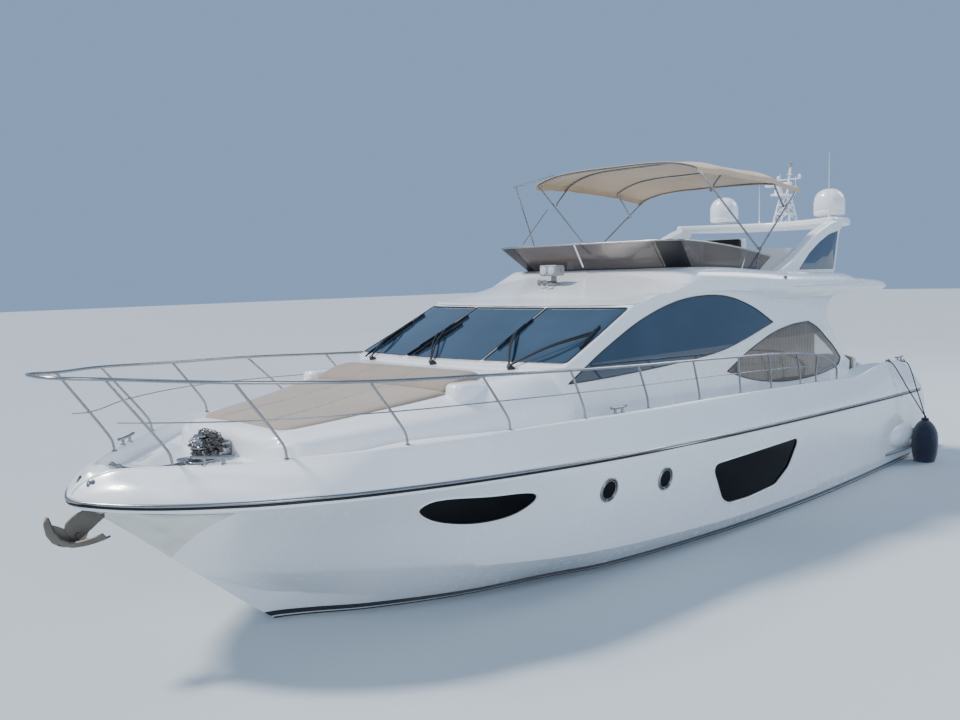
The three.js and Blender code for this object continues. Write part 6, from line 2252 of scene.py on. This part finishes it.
def soft_block(low, high, swell, steps=12):
    """A stuffed cushion in a box: its faces swell, its corners draw in."""
    low, high = np.array(low, float), np.array(high, float)
    middle = (low + high) / 2
    half = (high - low) / 2
    rings = []
    for t in np.linspace(-1, 1, steps * 2 + 1):
        ease = 1 - abs(t) ** 8
        ring = []
        for a in np.linspace(0, 2 * math.pi, 49)[:-1]:
            c, s = math.cos(a), math.sin(a)
            reach = (1 - swell / min(half[0], half[2]) * abs(t) ** 3) / max(abs(c), abs(s)) ** 0.82
            x = c * reach * (0.94 + 0.06 * ease)
            z = s * reach * (0.9 + 0.1 * ease)
            ring.append(middle + half * (x, t, z))
        rings.append(np.clip(np.array(ring), low, high))
    return Form().skin(rings)


CURTAIN_SPAN = (-3.78, -1.05)
CURTAIN_HEIGHT = (2.06, 3.16)
CURTAIN_Y = 1.915
PLEAT = 0.022


def make_curtains():
    """Pleated curtains drawn behind the aft windows."""
    folds = sizes().curtain_folds
    for side, sign in SIDES:
        xs = np.linspace(*CURTAIN_SPAN, folds * 8 + 1)
        rows = []
        ys = [sign * (CURTAIN_Y + PLEAT * math.sin(k * math.pi / 4)) for k in range(len(xs))]
        for z in np.linspace(*CURTAIN_HEIGHT, 8):
            rows.append([(x, y, z) for x, y in zip(xs, ys)])
        form = plate(Form(), rows, 0.002)
        wide = arc_length(rows[0])
        piece = form.make(f"curtain_{side}", "curtain", angle=80)


# Operators

NODE_FINISH = {
    "engine_hatch": "teak", "saloon_door_fixed": "cabin_glass", "saloon_door_sliding": "cabin_glass",
    "saloon_interior": "joinery", "fly_interior": "gelcoat", "fly_wheel": "stainless",
    "propeller_port": "bronze", "propeller_starboard": "bronze", "rudder_port": "bronze",
    "rudder_starboard": "bronze", "engine_port": "machinery", "engine_starboard": "machinery",
}


def finish_nodes():
    """Gives every part that is kept as it was packed a real finish."""
    for name, finish in NODE_FINISH.items():
        node = NODES[name]
        node.data.materials.clear()
        node.data.materials.append(material(finish))


class YACHT_OT_camera(bpy.types.Operator):
    """Sets the camera where the reference was seen from"""

    bl_idname = "yacht.camera"
    bl_label = "Camera"

    def execute(self, context):
        make_camera()
        return {"FINISHED"}


class YACHT_OT_stage(bpy.types.Operator):
    """Makes the floor, the sky and the lights"""

    bl_idname = "yacht.stage"
    bl_label = "Stage"

    def execute(self, context):
        make_stage()
        return {"FINISHED"}


class YACHT_OT_hull(bpy.types.Operator):
    """Builds the hull with its windows, rub rail and portholes"""

    bl_idname = "yacht.hull"
    bl_label = "Hull"

    def execute(self, context):
        make_hull()
        make_hull_trim()
        return {"FINISHED"}


class YACHT_OT_deck(bpy.types.Operator):
    """Builds the deck, bulwarks, coachroof and coamings"""

    bl_idname = "yacht.deck"
    bl_label = "Deck"

    def execute(self, context):
        make_deck()
        return {"FINISHED"}


class YACHT_OT_saloon(bpy.types.Operator):
    """Builds the saloon walls, glass, seals, mullions and curtains"""

    bl_idname = "yacht.saloon"
    bl_label = "Saloon"

    def execute(self, context):
        make_saloon()
        make_saloon_trim()
        make_curtains()
        return {"FINISHED"}


class YACHT_OT_fly(bpy.types.Operator):
    """Builds the fly deck, its wind deflector and its fittings"""

    bl_idname = "yacht.fly"
    bl_label = "Flybridge"

    def execute(self, context):
        make_fly_moulding()
        make_deflector()
        make_fly_trim()
        return {"FINISHED"}


class YACHT_OT_arch(bpy.types.Operator):
    """Builds the arch, its panels, the domes, the mast and its aerials"""

    bl_idname = "yacht.arch"
    bl_label = "Radar arch"

    def execute(self, context):
        make_arch()
        make_domes()
        make_mast()
        return {"FINISHED"}


class YACHT_OT_canopy(bpy.types.Operator):
    """Builds the hoops and the cloth over them"""

    bl_idname = "yacht.canopy"
    bl_label = "Canopy"

    def execute(self, context):
        make_hoops()
        make_canopy()
        return {"FINISHED"}


class YACHT_OT_rails(bpy.types.Operator):
    """Builds the rails round the foredeck and side decks"""

    bl_idname = "yacht.rails"
    bl_label = "Guard rails"

    def execute(self, context):
        make_rails()
        return {"FINISHED"}


class YACHT_OT_sunpad(bpy.types.Operator):
    """Builds the sunpad and its backrest"""

    bl_idname = "yacht.sunpad"
    bl_label = "Sunpad"

    def execute(self, context):
        make_sunpad()
        return {"FINISHED"}


class YACHT_OT_wipers(bpy.types.Operator):
    """Builds the wipers, the searchlight and the horns"""

    bl_idname = "yacht.wipers"
    bl_label = "Wipers and searchlight"

    def execute(self, context):
        make_wipers()
        make_searchlight()
        return {"FINISHED"}


class YACHT_OT_foredeck(bpy.types.Operator):
    """Builds the windlass, the chain, the cleats and the anchor"""

    bl_idname = "yacht.foredeck"
    bl_label = "Foredeck fittings"

    def execute(self, context):
        make_windlass()
        make_chain()
        make_deck_fittings()
        make_anchor()
        return {"FINISHED"}


class YACHT_OT_stern(bpy.types.Operator):
    """Builds the fender, the quarter trim, the cockpit bench and the swim platform"""

    bl_idname = "yacht.stern"
    bl_label = "Stern"

    def execute(self, context):
        make_fender()
        make_quarters()
        make_cockpit()
        return {"FINISHED"}


class YACHT_OT_finishes(bpy.types.Operator):
    """Gives the kept parts their materials"""

    bl_idname = "yacht.finishes"
    bl_label = "Finishes"

    def execute(self, context):
        finish_nodes()
        return {"FINISHED"}


OPERATORS = [
    YACHT_OT_camera, YACHT_OT_stage, YACHT_OT_hull, YACHT_OT_deck,
    YACHT_OT_saloon, YACHT_OT_fly, YACHT_OT_arch, YACHT_OT_canopy,
    YACHT_OT_rails, YACHT_OT_sunpad, YACHT_OT_wipers, YACHT_OT_foredeck,
    YACHT_OT_stern, YACHT_OT_finishes,
]


class YACHT_PT_build(bpy.types.Panel):
    """Lists the yacht's pieces and what can be changed about them"""

    bl_label = "Motor Yacht"
    bl_idname = "YACHT_PT_build"
    bl_space_type = "VIEW_3D"
    bl_region_type = "UI"
    bl_category = "Yacht"

    def draw(self, context):
        for kind in OPERATORS:
            self.layout.operator(kind.bl_idname)
        for group in (context.scene.yacht_colours, context.scene.yacht_sizes):
            box = self.layout.box()
            for key in group.bl_rna.properties.keys():
                if key not in ("rna_type", "name"):
                    box.prop(group, key)


CLASSES = [YachtColours, YachtSizes, *OPERATORS, YACHT_PT_build]


def register():
    for kind in CLASSES:
        bpy.utils.register_class(kind)
    bpy.types.Scene.yacht_colours = PointerProperty(type=YachtColours)
    bpy.types.Scene.yacht_sizes = PointerProperty(type=YachtSizes)


def unregister():
    del bpy.types.Scene.yacht_sizes
    del bpy.types.Scene.yacht_colours
    for kind in reversed(CLASSES):
        bpy.utils.unregister_class(kind)


def main():
    register()
    for kind in OPERATORS:
        getattr(bpy.ops.yacht, kind.bl_idname.split(".")[1])()


if __name__ == "__main__":
    main()
